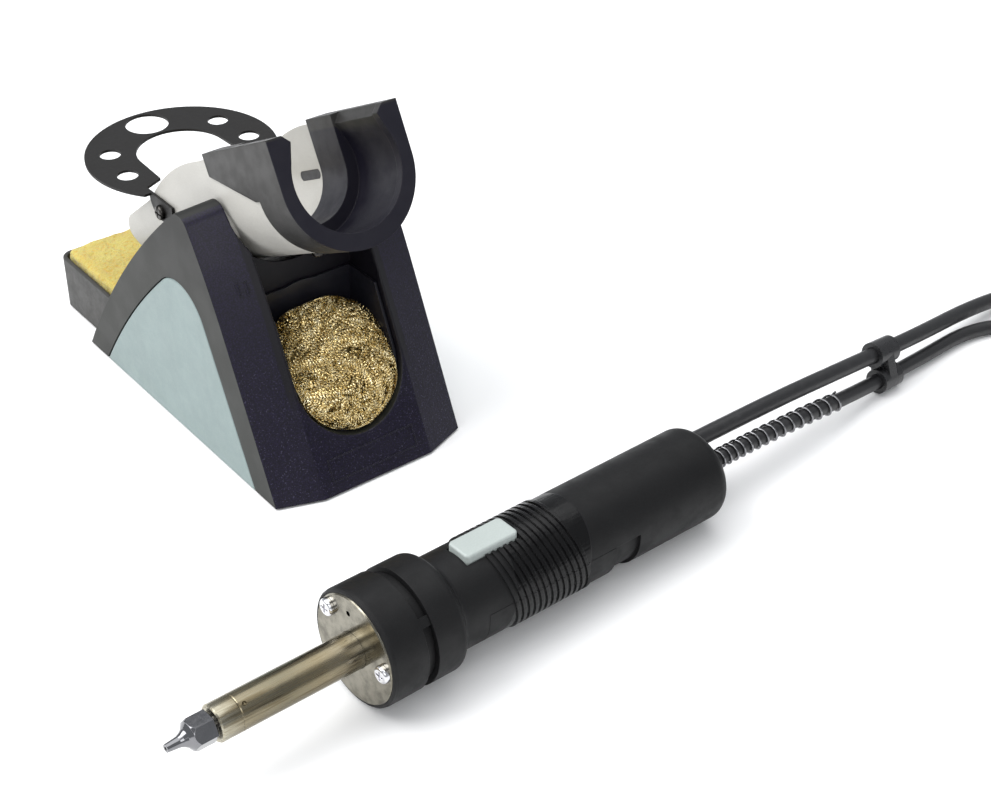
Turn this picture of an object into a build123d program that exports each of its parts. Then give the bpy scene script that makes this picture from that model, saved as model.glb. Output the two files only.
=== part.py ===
"""Soldering station stand with a desoldering iron: rest, sponge drawer, brass wool and hand-piece.

Millimetres. +X is to the right of someone facing the stand, +Y runs from its front to its
back, +Z is up, and z = 0 is the bench. The origin lies on the bench under the middle of the
stand's base. The iron lies on the bench in front of the stand, along +X.
"""
from build123d import *
import math
import os

# ------------------------------------------------------------------ stand: base shell
base_width = 77.6  # across the outer faces of the two cheeks
front_y = -70.0  # front edge of the base at its middle
base_length = 138.0  # front edge to the cheeks' rear corners
foot_height = 0.8  # bench to the underside of the shell
front_slope = 65.5  # lean of the front face, degrees above the bench
front_bend_z = 57.0  # above this the cheeks' front edge curves back
front_top = (50.5, 99.9)  # end of that curve: distance behind the front edge, height
facet_half = 22.4  # half the width of the middle front facet
facet_angle = 20.0  # the outer front facets sweep back by this
rear_radius = 400.0  # the cheeks' rear edge is a very large arc, from the ridge to the rear corners
ridge_drop = 0.7  # that arc starts this far below the front curve's end
ridge_fillet = 6.0

# wool pocket in the front face
pocket_radius = 21.6
pocket_z = 37.5  # height of the pocket's round bottom's centre
pocket_depth = 46.0  # back wall, behind the front edge
pocket_lip = 0.5

# drawer bay for the sponge tray
bay_wall = 5.2  # cheek wall beside the bay
bay_front = 74.0  # bay's front wall, behind the front edge
bay_height = 27.6
rail_z = 12.0  # height of the drawer rails
rail_height = 3.0
rail_depth = 1.5

# base plate, ballast and feet
plate_thickness = 2.0
plate_margin = 4.4  # shell rim left beside the plate
plate_front = 20.0  # behind the front edge
plate_gap = 0.3
ballast_half_width = 24.0
ballast_gap = 4.0  # behind the wool pocket
ballast_height = 34.0
base_screw_inset = 6.0
screw_radius = 1.5
foot_radius = 4.5
foot_sink = 0.6
rear_foot_width = 2.6
rear_foot_length = 16.0

# side panels let into the cheeks' outer faces
panel_depth = 1.8
panel_front = 19.5  # front bottom corner, behind the front edge
panel_front_slope = 64.5
panel_rear = 124.4
panel_mid = (98.0, 34.4)  # a point that its rear edge bows through
panel_peak = (54.9, 75.0)  # where its two edges would meet
panel_round = 17.0
panel_gap = 0.35

# ------------------------------------------------------------------ tilting holder
pivot = (front_y + 53.0, 86.0)  # y, z of the trunnions
holder_tilt = 27.6  # rise of the holder's axis towards the front, at rest
tilt_down = 20.0  # travel towards level
tilt_up = 3.0  # travel towards upright
axis_rise = 6.1  # holder axis above the trunnions
cradle_radius = 24.0
cheek_gap = 1.4  # cradle to each cheek, and to the core below it
washer_room = 0.8  # round the washers
cradle_wall = 1.6
cradle_top = 15.9  # top edge above the holder axis
cradle_front = 43.5  # all along the axis from the trunnions
cradle_rear = -79.0
trunnion_radius = 4.0
trunnion_length = 4.6  # length inside the cheek
trunnion_gap = 0.05
bush_wall = 1.0
boss_radius = 7.0
washer_gap = 0.1
slot_length = 15.0
slot_height = 3.5
slot_at = (-16.5, -1.8)  # along the axis, above it
insert_gap = 0.03
insert_setback = 0.4

collar_proud = 0.7  # collar over the cradle
collar_top = 18.1
collar_front = 51.7
flange_rear = 34.6
wing_rear = 3.9
wing_low = 10.3
notch_at = (31.9, -0.5)
liner_rear = 3.1
seat_rise = 1.2  # the round seats lie this far above the holder axis
lip_radius = 20.0
lip_rear = 48.2
seat_radius = 21.0
shoulder_front = 21.1
gutter_radius = 16.5
groove_gap = 0.1
collar_screw_at = 15.5
collar_screw_head = 2.7

# ------------------------------------------------------------------ nozzle rack
rack_thickness = 1.0
rack_screw_at = (-41.9, 1.1)  # along the holder axis, above it
rack_rise = 4.4  # middle of the plate above the rack's screws
rack_centre = 28.6  # behind the rack's screws
rack_reach = 10.1  # from the ears out to the plate's rim
rack_inner = 16.6
rack_leg_end = 6.6  # legs end this far behind the screws
ear_radius = 8.0
ear_gap = 0.3
hole_circle = 26.0
big_hole = 8.1
small_hole = 3.9
small_hole_angles = (61.2, 102.0)
rack_screw_head = 2.7

# ------------------------------------------------------------------ sponge tray
tray_side_gap = 0.6
tray_front_gap = 2.0
tray_length = 95.0
tray_bottom = 1.0
tray_rim = 22.6
tray_wall = 1.8
tray_corner = 5.0
sponge_gap = 0.7
sponge_proud = 3.0

# ------------------------------------------------------------------ wool insert
cup_gap = 0.3
cup_wall = 1.0
cup_setback = 2.6
cup_top = 58.0
wool_gap = 0.2
wool_slope = 42.0  # lean of the wool's face
wool_face = (22.0, 37.5)  # a point on it: behind the front edge, height

# ------------------------------------------------------------------ iron, stations along its axis
iron_at = (-69.1, -156.8)  # x, y of the middle of the nose plate
iron_yaw = 2.8
nozzle_tip = -65.1
nozzle_hex = 9.0  # across the flats
hex_front = -57.6
hex_rear = -50.7
barrel_front = -49.8
barrel_radius = 6.0
barrel_wall = 0.8
barrel_groove = -42.6
nose_plate_inset = 1.4  # plate's edge inside the ring's
nose_plate_thickness = 2.0
nose_screws = ((11.6, 9.4), (-14.9, 1.1))
nose_hole = (2.2, 12.5)
ring_radius = 19.6
ring_front = 0.4
ring_rear = 13.3
groove_rear = 17.0
groove_depth = 2.0
flare_rear = 27.5
taper_rear = 31.5
grip_front_radius = 15.9
grip_rear_radius = 16.4
grip_rear = 140.0
handle_end = 145.2
handle_round = 6.0
handle_wall = 2.5
cavity_front = 20.0
cavity_rear = 138.0
rib_first = 50.6  # where the first rib crosses the level of the axis
rib_pitch = 2.42
rib_count = 13
rib_height = 0.55
rib_half = 0.6
rib_slant = 13.0  # the ribs lean back towards the top

button_front = 39.5
button_rear = 60.2
button_half = 4.8
button_top = 18.0
button_travel = 1.5
button_gap = 0.25
button_flange = 1.2
cover_front = 39.5
cover_rear = 92.4
seam_rise = 2.5  # the cover's side seams above the iron's axis
cover_gap = 0.15
notch_rear = 102.6
notch_depth = 1.1

collector_drop = 3.4
collector_radius = 7.8
collector_wall = 1.1
collector_front = 44.5
collector_rear = 86.5
seal_length = 3.6
board_height = 5.0
board_half = 8.0
board_thickness = 1.0
board_length = 43.5
switch_at = (49.0, 58.5)
switch_half = 3.0
switch_height = 2.4
spring_at = 44.0
spring_radius = 1.7
spring_wire = 0.45

# ------------------------------------------------------------------ cords
hose_diameter = 6.0
cable_diameter = 5.5
hose_exit = (7.3, 5.5)  # across and above the iron's axis, at its end
gland_proud = 0.6
strain_length = 77.0
strain_wire = 0.8
clip_x = 180.0
clip_length = 10.5
clip_wall = 1.9
clip_gap = 0.1

hose_route = [
    (117.5, -140.4, 20.4), (160.0, -137.9, 16.6), (200.0, -135.0, 12.4), (238.0, -129.2, 7.2),
    (266.0, -128.8, 3.6), (288.0, -139.0, 3.05), (310.0, -156.4, 3.05), (330.0, -160.6, 3.05),
]
cable_route = [
    (117.5, -147.5, 14.7), (160.0, -141.9, 6.5), (200.0, -138.0, 3.5), (236.0, -135.0, 2.8),
    (257.0, -150.5, 2.8), (267.5, -177.0, 2.8), (268.0, -203.0, 2.8),
]
hose_coil_centre = (338.0, -122.0)
hose_coil_turns = (27.0, 33.0, 39.0)  # radii of the turns on the bench
hose_coil_upper = (30.0, 36.0)  # radii of the turns lying on them
cable_coil_centre = (305.0, -212.0)
cable_coil_turns = (26.0, 31.5, 37.0)
cable_coil_upper = (28.8, 34.4)
layer_step = 0.87  # height of the second layer, in cord diameters
tail_length = 28.0
plug_radius = 8.0
plug_length = 30.0
plug_nut_length = 12.0
plug_pins = 6
fitting_radius = 4.8
fitting_length = 24.0


# ------------------------------------------------------------------ small helpers
def rod(radius, z0, z1, x=0.0, y=0.0):
    return Pos(x, y, (z0 + z1) / 2) * Cylinder(radius, z1 - z0)


def pipe(outer, inner, z0, z1, x=0.0, y=0.0):
    return rod(outer, z0, z1, x, y) - rod(inner, z0 - 1, z1 + 1, x, y)


def block(x0, x1, y0, y1, z0, z1):
    return Pos((x0 + x1) / 2, (y0 + y1) / 2, (z0 + z1) / 2) * Box(x1 - x0, y1 - y0, z1 - z0)


def across(face, half_width):
    """A face drawn as (y, z), carried to both sides of the middle plane."""
    return extrude(Plane.YZ * face, half_width, both=True)


def both_sides(shape):
    return shape + mirror(shape, about=Plane.YZ)


def along_x(radius, x0, x1, y, z):
    """A rod across the stand."""
    return Pos(0, y, z) * Rot(0, 90, 0) * rod(radius, x0, x1)


def turned(points):
    """A solid of revolution about Z, from (radius, z) points."""
    return revolve(Plane.XZ * make_face(Polyline(*points, close=True)), Axis.Z)


def only(shapes):
    """One compound of separate solids."""
    return Compound(children=[solid for shape in shapes for solid in shape.solids()])


# ------------------------------------------------------------------ stand
rear_y = front_y + base_length
half_width = base_width / 2
cheek_gap_half = cradle_radius + cheek_gap
collar_radius = cradle_radius + collar_proud
nose_plate_radius = ring_radius - nose_plate_inset
far = 400.0


def front_face_y(z):
    """Where the sloping front face is, at a height."""
    return front_y + (z - foot_height) / math.tan(math.radians(front_slope))


def front_limited():
    """Everything behind the front edge line, as a (y, z) face."""
    bend = (front_face_y(front_bend_z), front_bend_z)
    top = (front_y + front_top[0], front_top[1])
    slope = math.radians(front_slope)
    edge = Line((front_y, foot_height), bend)
    curve = TangentArc(bend, top, tangent=(math.cos(slope), math.sin(slope)))
    rest = Polyline(top, (top[0] + 20, top[1] + 20), (far, far), (far, foot_height), (front_y, foot_height))
    return make_face([edge, curve, rest])


def outer_body():
    middle = across(front_limited(), facet_half)
    sweep_back = Vector(math.cos(math.radians(facet_angle)), math.sin(math.radians(facet_angle)), 0)
    reach = (half_width - facet_half) / sweep_back.X
    side = extrude(Pos(facet_half, 0, 0) * (Plane.YZ * front_limited()), reach, dir=sweep_back)
    ridge = Vector(0, front_y + front_top[0], front_top[1] - ridge_drop)
    corner = Vector(0, rear_y, foot_height)
    chord = corner - ridge
    inward = Vector(0, chord.Z, -chord.Y).normalized()
    centre = (ridge + corner) / 2 + inward * math.sqrt(rear_radius ** 2 - chord.length ** 2 / 4)
    rear_limit = along_x(rear_radius, -half_width, half_width, centre.Y, centre.Z)
    return (middle + both_sides(side)) & rear_limit


def holder_room():
    """The U-shaped space the holder sweeps between the cheeks, at both ends of its tilt."""
    room = None
    for tilt in (holder_tilt + tilt_up, holder_tilt - tilt_down):
        trough = Rot(90, 0, 0) * Cylinder(cheek_gap_half, far)
        trough += block(-cheek_gap_half, cheek_gap_half, -far / 2, far / 2, 0, far)
        trough = Pos(0, *pivot) * Rot(-tilt, 0, 0) * Pos(0, 0, axis_rise) * trough
        room = trough if room is None else room + trough
    return room + along_x(boss_radius + washer_room, -cheek_gap_half, cheek_gap_half, *pivot)


def pocket_shape(radius, top, y0, y1):
    """The wool pocket's U, run from y0 to y1."""
    y_mid = (y0 + y1) / 2
    bottom = Pos(0, y_mid, pocket_z) * Rot(90, 0, 0) * Cylinder(radius, y1 - y0)
    return bottom + block(-radius, radius, y0, y1, pocket_z, top)


def panel_face(grow):
    """The side panel's outline as a (y, z) face, grown by a margin."""
    y0, y1 = front_y + panel_front, front_y + panel_rear
    peak = (front_y + panel_peak[0], panel_peak[1])
    mid = (front_y + panel_mid[0], panel_mid[1])
    low = foot_height - 20.0
    start = (y0 - (foot_height - low) / math.tan(math.radians(panel_front_slope)), low)
    edge = Line(start, peak)
    bow = ThreePointArc(peak, mid, (y1, foot_height))
    base = Polyline((y1, foot_height), (y1 + 12, low), start)
    face = make_face([edge, bow, base])
    top = face.vertices().sort_by(Axis.Y)[-1]
    face = fillet(top, panel_round)
    return offset(face, grow) if grow else face


def panel_solid(grow, depth):
    x0 = half_width - depth
    solid = extrude(Pos(x0, 0, 0) * (Plane.YZ * panel_face(grow)), depth + (1 if grow else 0))
    return solid & block(0, far, -far, far, foot_height if not grow else -far, far)


bay_half = half_width - bay_wall
bay_y = front_y + bay_front
ballast_front = pocket_depth + ballast_gap
plate_y0 = front_y + plate_front
plate_y1 = bay_y - 3.0
plate_half = half_width - plate_margin
plate_top = foot_height + plate_thickness
bush_radius = trunnion_radius + trunnion_gap + bush_wall
bush_end = cheek_gap_half + trunnion_length + 0.4
foot_y = front_y + 10.0
foot_x = half_width - foot_radius - 2.2
rear_foot_x = half_width - (bay_wall + panel_depth) / 2
rear_foot_y = rear_y - 14.0
screw_places = [
    (x, y)
    for x in (-plate_half + base_screw_inset, plate_half - base_screw_inset)
    for y in (plate_y0 + base_screw_inset, plate_y1 - base_screw_inset)
]


def on_pocket_mouth(point):
    """Whether a point lies where the pocket's U meets the flat of the front face."""
    off_face = abs(point.Y - front_face_y(point.Z))
    if point.Z > pocket_z:
        off_wall = abs(abs(point.X) - pocket_radius)
    else:
        off_wall = abs(math.hypot(point.X, point.Z - pocket_z) - pocket_radius)
    return off_face < 0.01 and off_wall < 0.01


def make_base_shell():
    shell = outer_body() - holder_room()
    wall = half_width - cheek_gap_half
    ridges = shell.edges().filter_by(lambda e: e.center().Z > front_top[1] - 12 and e.length > wall / 2
                                     and abs(e.tangent_at(0.5).X) > 0.8)
    shell = fillet(ridges, min(ridge_fillet, 0.55 * wall))
    shell -= pocket_shape(pocket_radius, far, front_y - 20, front_y + pocket_depth)
    lip = shell.edges().filter_by(lambda e: on_pocket_mouth(e.center()) and on_pocket_mouth(e @ 0.2))
    shell = fillet(lip, pocket_lip)
    shell -= block(-bay_half, bay_half, bay_y, rear_y + 20, -1, bay_height)
    rail = block(bay_half - 1, bay_half + rail_depth, bay_y, rear_y + 20, rail_z, rail_z + rail_height)
    shell -= both_sides(rail)
    shell -= block(-plate_half - plate_gap, plate_half + plate_gap, plate_y0 - plate_gap,
                   plate_y1 + plate_gap, -1, plate_top)
    shell -= block(-ballast_half_width, ballast_half_width, front_y + ballast_front, plate_y1 - 4,
                   plate_top - 1, plate_top + ballast_height)
    shell -= both_sides(panel_solid(panel_gap, panel_depth))
    shell -= both_sides(along_x(bush_radius, cheek_gap_half - 1, bush_end, *pivot))
    for x, y in screw_places:
        shell -= rod(screw_radius - 0.1, plate_top - 1, plate_top + 10, x, y)
    for x in (-foot_x, foot_x):
        shell -= rod(foot_radius + 0.15, -1, foot_height + foot_sink, x, foot_y)
    shell -= both_sides(rear_foot(0.15, -1, foot_height + foot_sink))
    return shell


def rear_foot(grow, z0, z1):
    half_x, half_y = rear_foot_width / 2 + grow, rear_foot_length / 2 + grow
    return block(rear_foot_x - half_x, rear_foot_x + half_x, rear_foot_y - half_y, rear_foot_y + half_y, z0, z1)


def make_side_panel():
    panel = panel_solid(0, panel_depth - 0.05)
    rim = panel.faces().sort_by(Axis.X)[-1].edges()
    return chamfer(rim.filter_by(lambda e: e.center().Z > foot_height + 1), 0.4)


def make_base_plate():
    plate = block(-plate_half, plate_half, plate_y0, plate_y1, foot_height, plate_top)
    for x, y in screw_places:
        plate -= rod(screw_radius + 0.2, -1, 10, x, y)
        plate -= rod(2 * screw_radius, -1, foot_height + 1.2, x, y)
    return plate


def make_base_screws():
    screws = []
    for x, y in screw_places:
        screw = rod(2 * screw_radius - 0.15, foot_height + 0.1, foot_height + 1.2, x, y)
        screw += rod(screw_radius - 0.15, foot_height + 1, plate_top + 8, x, y)
        screws.append(screw - block(x - 1.8, x + 1.8, y - 0.3, y + 0.3, 0, foot_height + 0.6))
    return only(screws)


def make_ballast():
    return block(-ballast_half_width + 0.2, ballast_half_width - 0.2, front_y + ballast_front + 0.2,
                 plate_y1 - 4.2, plate_top + 0.05, plate_top + ballast_height - 0.2)


def make_feet():
    front = [rod(foot_radius, 0, foot_height + foot_sink, x, foot_y) for x in (-foot_x, foot_x)]
    rear = rear_foot(0, 0, foot_height + foot_sink)
    return only(front + [rear, mirror(rear, about=Plane.YZ)])


def make_bushes():
    bush = along_x(bush_radius - 0.02, cheek_gap_half, bush_end, *pivot)
    bush -= along_x(trunnion_radius + trunnion_gap, cheek_gap_half - 1, bush_end - 0.3, *pivot)
    return only([bush, mirror(bush, about=Plane.YZ)])


def make_washers():
    x0 = cradle_radius + 0.2 + washer_gap
    ring = along_x(boss_radius - 0.4, x0, cheek_gap_half - washer_gap, *pivot)
    ring -= along_x(trunnion_radius + 0.2, x0 - 1, cheek_gap_half + 1, *pivot)
    return only([ring, mirror(ring, about=Plane.YZ)])


# ------------------------------------------------------------------ holder, in its own frame
# local x is across, local y is up from the axis, local z runs forward along the axis
tilt_rad = math.radians(holder_tilt)
holder_z = Vector(0, -math.cos(tilt_rad), math.sin(tilt_rad))
holder_y = Vector(0, math.sin(tilt_rad), math.cos(tilt_rad))
holder_origin = Vector(0, *pivot) + holder_y * axis_rise
holder_frame = Plane(origin=holder_origin, x_dir=(1, 0, 0), z_dir=holder_z).location


def holder_point(along, up):
    return holder_origin + holder_z * along + holder_y * up


def gutter(radius, top, z0, z1, rise=0.0):
    """A U-shaped bar: round below, straight sides up to a height."""
    return rod(radius, z0, z1, 0, rise) + block(-radius, radius, rise, top, z0, z1)


def from_side(points, half_width):
    """A prism across the holder, from (along, up) points or edges."""
    face = make_face(points) if not isinstance(points[0], tuple) else make_face(Polyline(*points, close=True))
    side = Plane(origin=(0, 0, 0), x_dir=(0, 0, 1), z_dir=(1, 0, 0))
    return extrude(side * face, half_width, both=True)


def side_view(along, up):
    """A point of the holder's side view, whose drawing plane has its y axis downwards."""
    return (along, -up)


def cradle_side():
    """Side view of the cradle: level top edge, then a fall to the rounded rear end."""
    front_low = side_view(cradle_front, -cradle_radius - 5)
    front_high = side_view(cradle_front, cradle_top)
    level_end = side_view(-14.0, cradle_top)
    fall_end = side_view(-50.0, 6.2)
    corner = side_view(cradle_rear + 6.5, 1.8)
    rear_high = side_view(cradle_rear, -5.5)
    rear_low = side_view(cradle_rear + 3.0, -cradle_radius - 5)
    return [
        Polyline(rear_low, front_low, front_high, level_end),
        ThreePointArc(level_end, side_view(-33.0, 12.7), fall_end),
        Line(fall_end, corner),
        ThreePointArc(corner, side_view(cradle_rear + 1.8, -0.8), rear_high),
        Line(rear_high, rear_low),
    ]


def slot_bar(half_height):
    """The cradle's round-ended slots, as one bar across it."""
    reach = (slot_length - slot_height) / 2
    low, high = slot_at[1] - half_height, slot_at[1] + half_height
    bar = block(-far, far, low, high, slot_at[0] - reach, slot_at[0] + reach)
    for z in (slot_at[0] - reach, slot_at[0] + reach):
        bar += Pos(0, slot_at[1], z) * Rot(0, 90, 0) * Cylinder(half_height, 2 * far)
    return bar


def make_slot_inserts():
    """Dark plugs that fill the slots, set back a little from the outside."""
    inner = cradle_radius - cradle_wall
    ring = pipe(cradle_radius - insert_setback, inner + 0.1, 2 * slot_at[0], 0)
    return only([ring & slot_bar(slot_height / 2 - insert_gap)])


def make_cradle():
    outer = gutter(cradle_radius, cradle_top + 5, cradle_rear - 5, cradle_front)
    inner_radius = cradle_radius - cradle_wall
    inner = gutter(inner_radius, far, cradle_rear - 10, cradle_front + 10)
    cradle = (outer & from_side(cradle_side(), far)) - inner
    pivot_local = Pos(0, -axis_rise, 0) * Rot(0, 90, 0)
    boss = pivot_local * rod(boss_radius, cradle_radius - 6, cradle_radius + 0.2)
    trunnion = pivot_local * rod(trunnion_radius, cradle_radius - 2, cheek_gap_half + trunnion_length - 0.2)
    cradle += both_sides((boss - inner) + trunnion)
    cradle -= slot_bar(slot_height / 2)
    cradle -= Pos(0, rack_screw_at[1], rack_screw_at[0]) * Rot(0, 90, 0) * Cylinder(screw_radius, 2 * far)
    cradle -= Pos(0, -cradle_radius, collar_screw_at) * Rot(90, 0, 0) * Cylinder(screw_radius, 12)
    return cradle


def collar_bore(radius, shoulder, z0, z1):
    """The seat's opening: round, closing in slightly near the top, with bevelled horns."""
    bore = rod(radius, z0, z1, 0, seat_rise)
    horn_in = radius - 3.6
    neck = Polyline((-radius + 0.7, 6.2), (-horn_in, shoulder), (-horn_in - 2.8, collar_top + 0.1),
                    (-horn_in - 2.8, far), (horn_in + 2.8, far), (horn_in + 2.8, collar_top + 0.1),
                    (horn_in, shoulder), (radius - 0.7, 6.2), close=True)
    return bore + extrude(Pos(0, 0, z0) * make_face(neck), z1 - z0)


def make_collar():
    inner = cradle_radius - cradle_wall - groove_gap
    outer = cradle_radius + groove_gap
    liner = gutter(inner, collar_top, liner_rear, flange_rear)
    flange = gutter(collar_radius, collar_top, flange_rear, collar_front)
    skin = gutter(collar_radius, collar_top, wing_rear, flange_rear) - gutter(outer, far, 0, collar_front)
    cap = block(inner - 1, collar_radius, cradle_top + groove_gap, collar_top, wing_rear, flange_rear)
    wing_view = [side_view(*p) for p in ((wing_rear, far), (wing_rear, wing_low), notch_at,
                                         (flange_rear + 1, notch_at[1] - 0.1), (flange_rear + 1, far))]
    wings = (skin + both_sides(cap)) & from_side(wing_view, far)
    collar = liner + flange + wings
    groove = gutter(outer, cradle_top + groove_gap, flange_rear - 1, cradle_front + groove_gap)
    groove -= gutter(inner, far, 0, collar_front)
    collar -= groove
    collar -= collar_bore(lip_radius, collar_top - 2.7, lip_rear, collar_front + 5)
    collar -= collar_bore(seat_radius, collar_top - 3.4, shoulder_front, lip_rear)
    collar -= gutter(gutter_radius, far, -5, shoulder_front, seat_rise)
    collar -= Pos(0, -cradle_radius, collar_screw_at) * Rot(90, 0, 0) * Cylinder(screw_radius - 0.1, 14)
    return collar


def make_collar_screw():
    head = rod(collar_screw_head, cradle_radius + 0.05, cradle_radius + 1.8)
    head = fillet(head.edges().sort_by(Axis.Z)[-1], 0.9)
    slot = block(-4, 4, -0.35, 0.35, cradle_radius + 1.1, cradle_radius + 4)
    shank = rod(screw_radius - 0.15, cradle_radius - 5, cradle_radius + 1)
    screw = head + shank - slot - Rot(0, 0, 90) * slot
    return Pos(0, 0, collar_screw_at) * Rot(90, 0, 0) * screw


# ------------------------------------------------------------------ nozzle rack
rack_pivot = holder_point(*rack_screw_at)
ear_inner = cradle_radius + ear_gap
ear_outer = ear_inner + rack_thickness
rack_radius = ear_outer + rack_reach


def rack_hole(angle, radius):
    """A hole on the rack's circle, its angle counted from straight back."""
    a = math.radians(angle)
    return rod(radius, -5, 5, hole_circle * math.sin(a), rack_centre + hole_circle * math.cos(a))


def make_rack():
    half = rack_thickness / 2
    plate = rod(rack_radius, -half, half, 0, rack_centre)
    leg_end = rack_leg_end
    outer_cut = Polyline((rack_radius + 1, rack_centre - 11), (ear_outer + 6.5, leg_end), (ear_outer + 6.5, -far),
                         (far, -far), (far, rack_centre - 11), close=True)
    plate -= both_sides(extrude(Pos(0, 0, -5) * make_face(outer_cut), 10))
    plate -= block(-far, far, -far, leg_end, -5, 5)
    inner_cut = Polyline((rack_inner, rack_centre), (rack_inner + 0.6, leg_end + 7.5), (ear_inner, leg_end + 4.5),
                         (ear_inner, -far), (0, -far), (0, rack_centre), close=True)
    plate -= both_sides(extrude(Pos(0, 0, -5) * make_face(inner_cut), 10))
    plate -= rod(rack_inner, -5, 5, 0, rack_centre)
    plate -= rack_hole(0, big_hole)
    for angle in small_hole_angles:
        plate -= both_sides(rack_hole(angle, small_hole))
    ear = along_x(ear_radius, ear_inner, ear_outer, 0, 0)
    ear &= block(0, far, -far, far, -far, half)
    ear -= along_x(screw_radius + 0.1, 0, far, 0, -rack_rise)
    return Pos(0, rack_pivot.Y, rack_pivot.Z + rack_rise) * (plate + both_sides(ear))


def make_rack_screws():
    head = rod(rack_screw_head, ear_outer + 0.1, ear_outer + 1.7)
    head = fillet(head.edges().sort_by(Axis.Z)[-1], 0.9)
    slot = block(-4, 4, -0.35, 0.35, ear_outer + 1.1, ear_outer + 4)
    shank = rod(screw_radius - 0.05, cradle_radius - cradle_wall - 1.2, ear_outer + 1)
    screw = head + shank - slot - Rot(0, 0, 90) * slot
    screw = Pos(0, rack_pivot.Y, rack_pivot.Z) * Rot(0, 90, 0) * screw
    return only([screw, mirror(screw, about=Plane.YZ)])


# ------------------------------------------------------------------ sponge drawer
tray_half = bay_half - tray_side_gap
tray_y0 = bay_y + tray_front_gap
tray_y1 = tray_y0 + tray_length


def make_tray():
    tray = block(-tray_half, tray_half, tray_y0, tray_y1, tray_bottom, tray_rim)
    tray = fillet(tray.edges().filter_by(Axis.Z), tray_corner)
    inner = block(-tray_half + tray_wall, tray_half - tray_wall, tray_y0 + tray_wall, tray_y1 - tray_wall,
                  tray_bottom + tray_wall, far)
    tray -= fillet(inner.edges().filter_by(Axis.Z), tray_corner - tray_wall)
    tray = fillet(tray.faces().sort_by(Axis.Z)[-1].edges(), 0.7)
    gap = 0.35
    rib = block(tray_half - 1, bay_half + rail_depth - gap, tray_y0 + 6, tray_y0 + 42,
                rail_z + gap, rail_z + rail_height - gap)
    return tray + both_sides(rib)


def make_sponge():
    inset = tray_wall + sponge_gap
    sponge = block(-tray_half + inset, tray_half - inset, tray_y0 + inset, tray_y1 - inset,
                   tray_bottom + tray_wall + 0.05, tray_rim + sponge_proud)
    return fillet(sponge.edges().filter_by(Axis.Z), tray_corner - tray_wall - 0.5)


# ------------------------------------------------------------------ wool insert
def behind_front(setback):
    """The half-space behind the sloping front face, set back by a distance."""
    slope = math.radians(front_slope)
    face = make_face(Polyline((front_y, foot_height),
                              (front_y + far * math.cos(slope), foot_height + far * math.sin(slope)),
                              (front_y + 2 * far, 0), close=True))
    return Pos(0, setback / math.sin(slope), 0) * across(face, far)


cup_back = front_y + pocket_depth - cup_gap


def make_cup():
    outer = pocket_shape(pocket_radius - cup_gap, cup_top, front_y - 20, cup_back)
    inner = pocket_shape(pocket_radius - cup_gap - cup_wall, far, front_y - 30, cup_back - cup_wall)
    return (outer - inner) & behind_front(cup_setback)


def make_wool():
    radius = pocket_radius - cup_gap - cup_wall - wool_gap
    wool = pocket_shape(radius, cup_top, front_y - 20, cup_back - cup_wall - wool_gap)
    slope = math.radians(wool_slope)
    y, z = front_y + wool_face[0], wool_face[1]
    reach = 100.0
    below = make_face(Polyline((y - reach * math.cos(slope), z - reach * math.sin(slope)),
                               (y + reach * math.cos(slope), z + reach * math.sin(slope)),
                               (y + 2 * reach, z - 2 * reach), close=True))
    return wool & across(below, far) & behind_front(0.0)


# ------------------------------------------------------------------ iron, in its own frame
# local x points to the stand, local y is up, local z is the station along the axis
rest_pitch = math.asin((ring_radius - grip_rear_radius) / (grip_rear - flare_rear))
iron_height = flare_rear * math.sin(rest_pitch) + ring_radius * math.cos(rest_pitch) + 0.02
yaw_rad = math.radians(iron_yaw)
iron_z = Vector(math.cos(yaw_rad) * math.cos(rest_pitch), math.sin(yaw_rad) * math.cos(rest_pitch),
                -math.sin(rest_pitch))
iron_x = Vector(-math.sin(yaw_rad), math.cos(yaw_rad), 0)
iron_y = iron_z.cross(iron_x)
iron_origin = Vector(iron_at[0], iron_at[1], iron_height)
iron_frame = Plane(origin=iron_origin, x_dir=iron_x, z_dir=iron_z).location


def iron_point(x, y, z):
    return iron_origin + iron_x * x + iron_y * y + iron_z * z


def grip_radius(z):
    """The handle's slight taper."""
    share = (z - taper_rear) / (grip_rear - taper_rear)
    return grip_front_radius + (grip_rear_radius - grip_front_radius) * share


def make_nozzle():
    outline = RegularPolygon(nozzle_hex / 2, 6, major_radius=False)
    hexagon = extrude(Pos(0, 0, hex_front) * outline, hex_rear - hex_front)
    corner = nozzle_hex / math.sqrt(3)
    limit = turned([(0, hex_front), (nozzle_hex / 2, hex_front), (corner, hex_front + 1.1),
                    (corner, hex_rear), (0, hex_rear)])
    root = nozzle_hex / 2 - 0.1
    neck = turned([(0, nozzle_tip), (1.3, nozzle_tip), (1.75, nozzle_tip + 4.2), (2.15, nozzle_tip + 5.2),
                   (2.9, nozzle_tip + 6.3), (root, hex_front), (root, hex_front + 0.5), (0, hex_front + 0.5)])
    shank = rod(2.9, hex_rear - 0.5, barrel_front + 6)
    return (hexagon & limit) + neck + shank - rod(0.6, nozzle_tip - 1, 0)


def make_barrel():
    inner = barrel_radius - barrel_wall
    body = turned([(3.1, barrel_front), (barrel_radius - 0.5, barrel_front), (barrel_radius, barrel_front + 0.5),
                   (barrel_radius, barrel_groove - 0.3), (barrel_radius - 0.15, barrel_groove),
                   (barrel_radius, barrel_groove + 0.3), (barrel_radius, nose_plate_thickness + 0.1),
                   (9.0, nose_plate_thickness + 0.1), (9.0, nose_plate_thickness + 1.6),
                   (inner, nose_plate_thickness + 1.6), (inner, barrel_front + 1.4), (3.1, barrel_front + 1.4)])
    dimple = Pos(-barrel_radius * 0.55, barrel_radius * 0.84, barrel_groove + 1.9) * Sphere(0.7)
    return body - dimple


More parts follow.
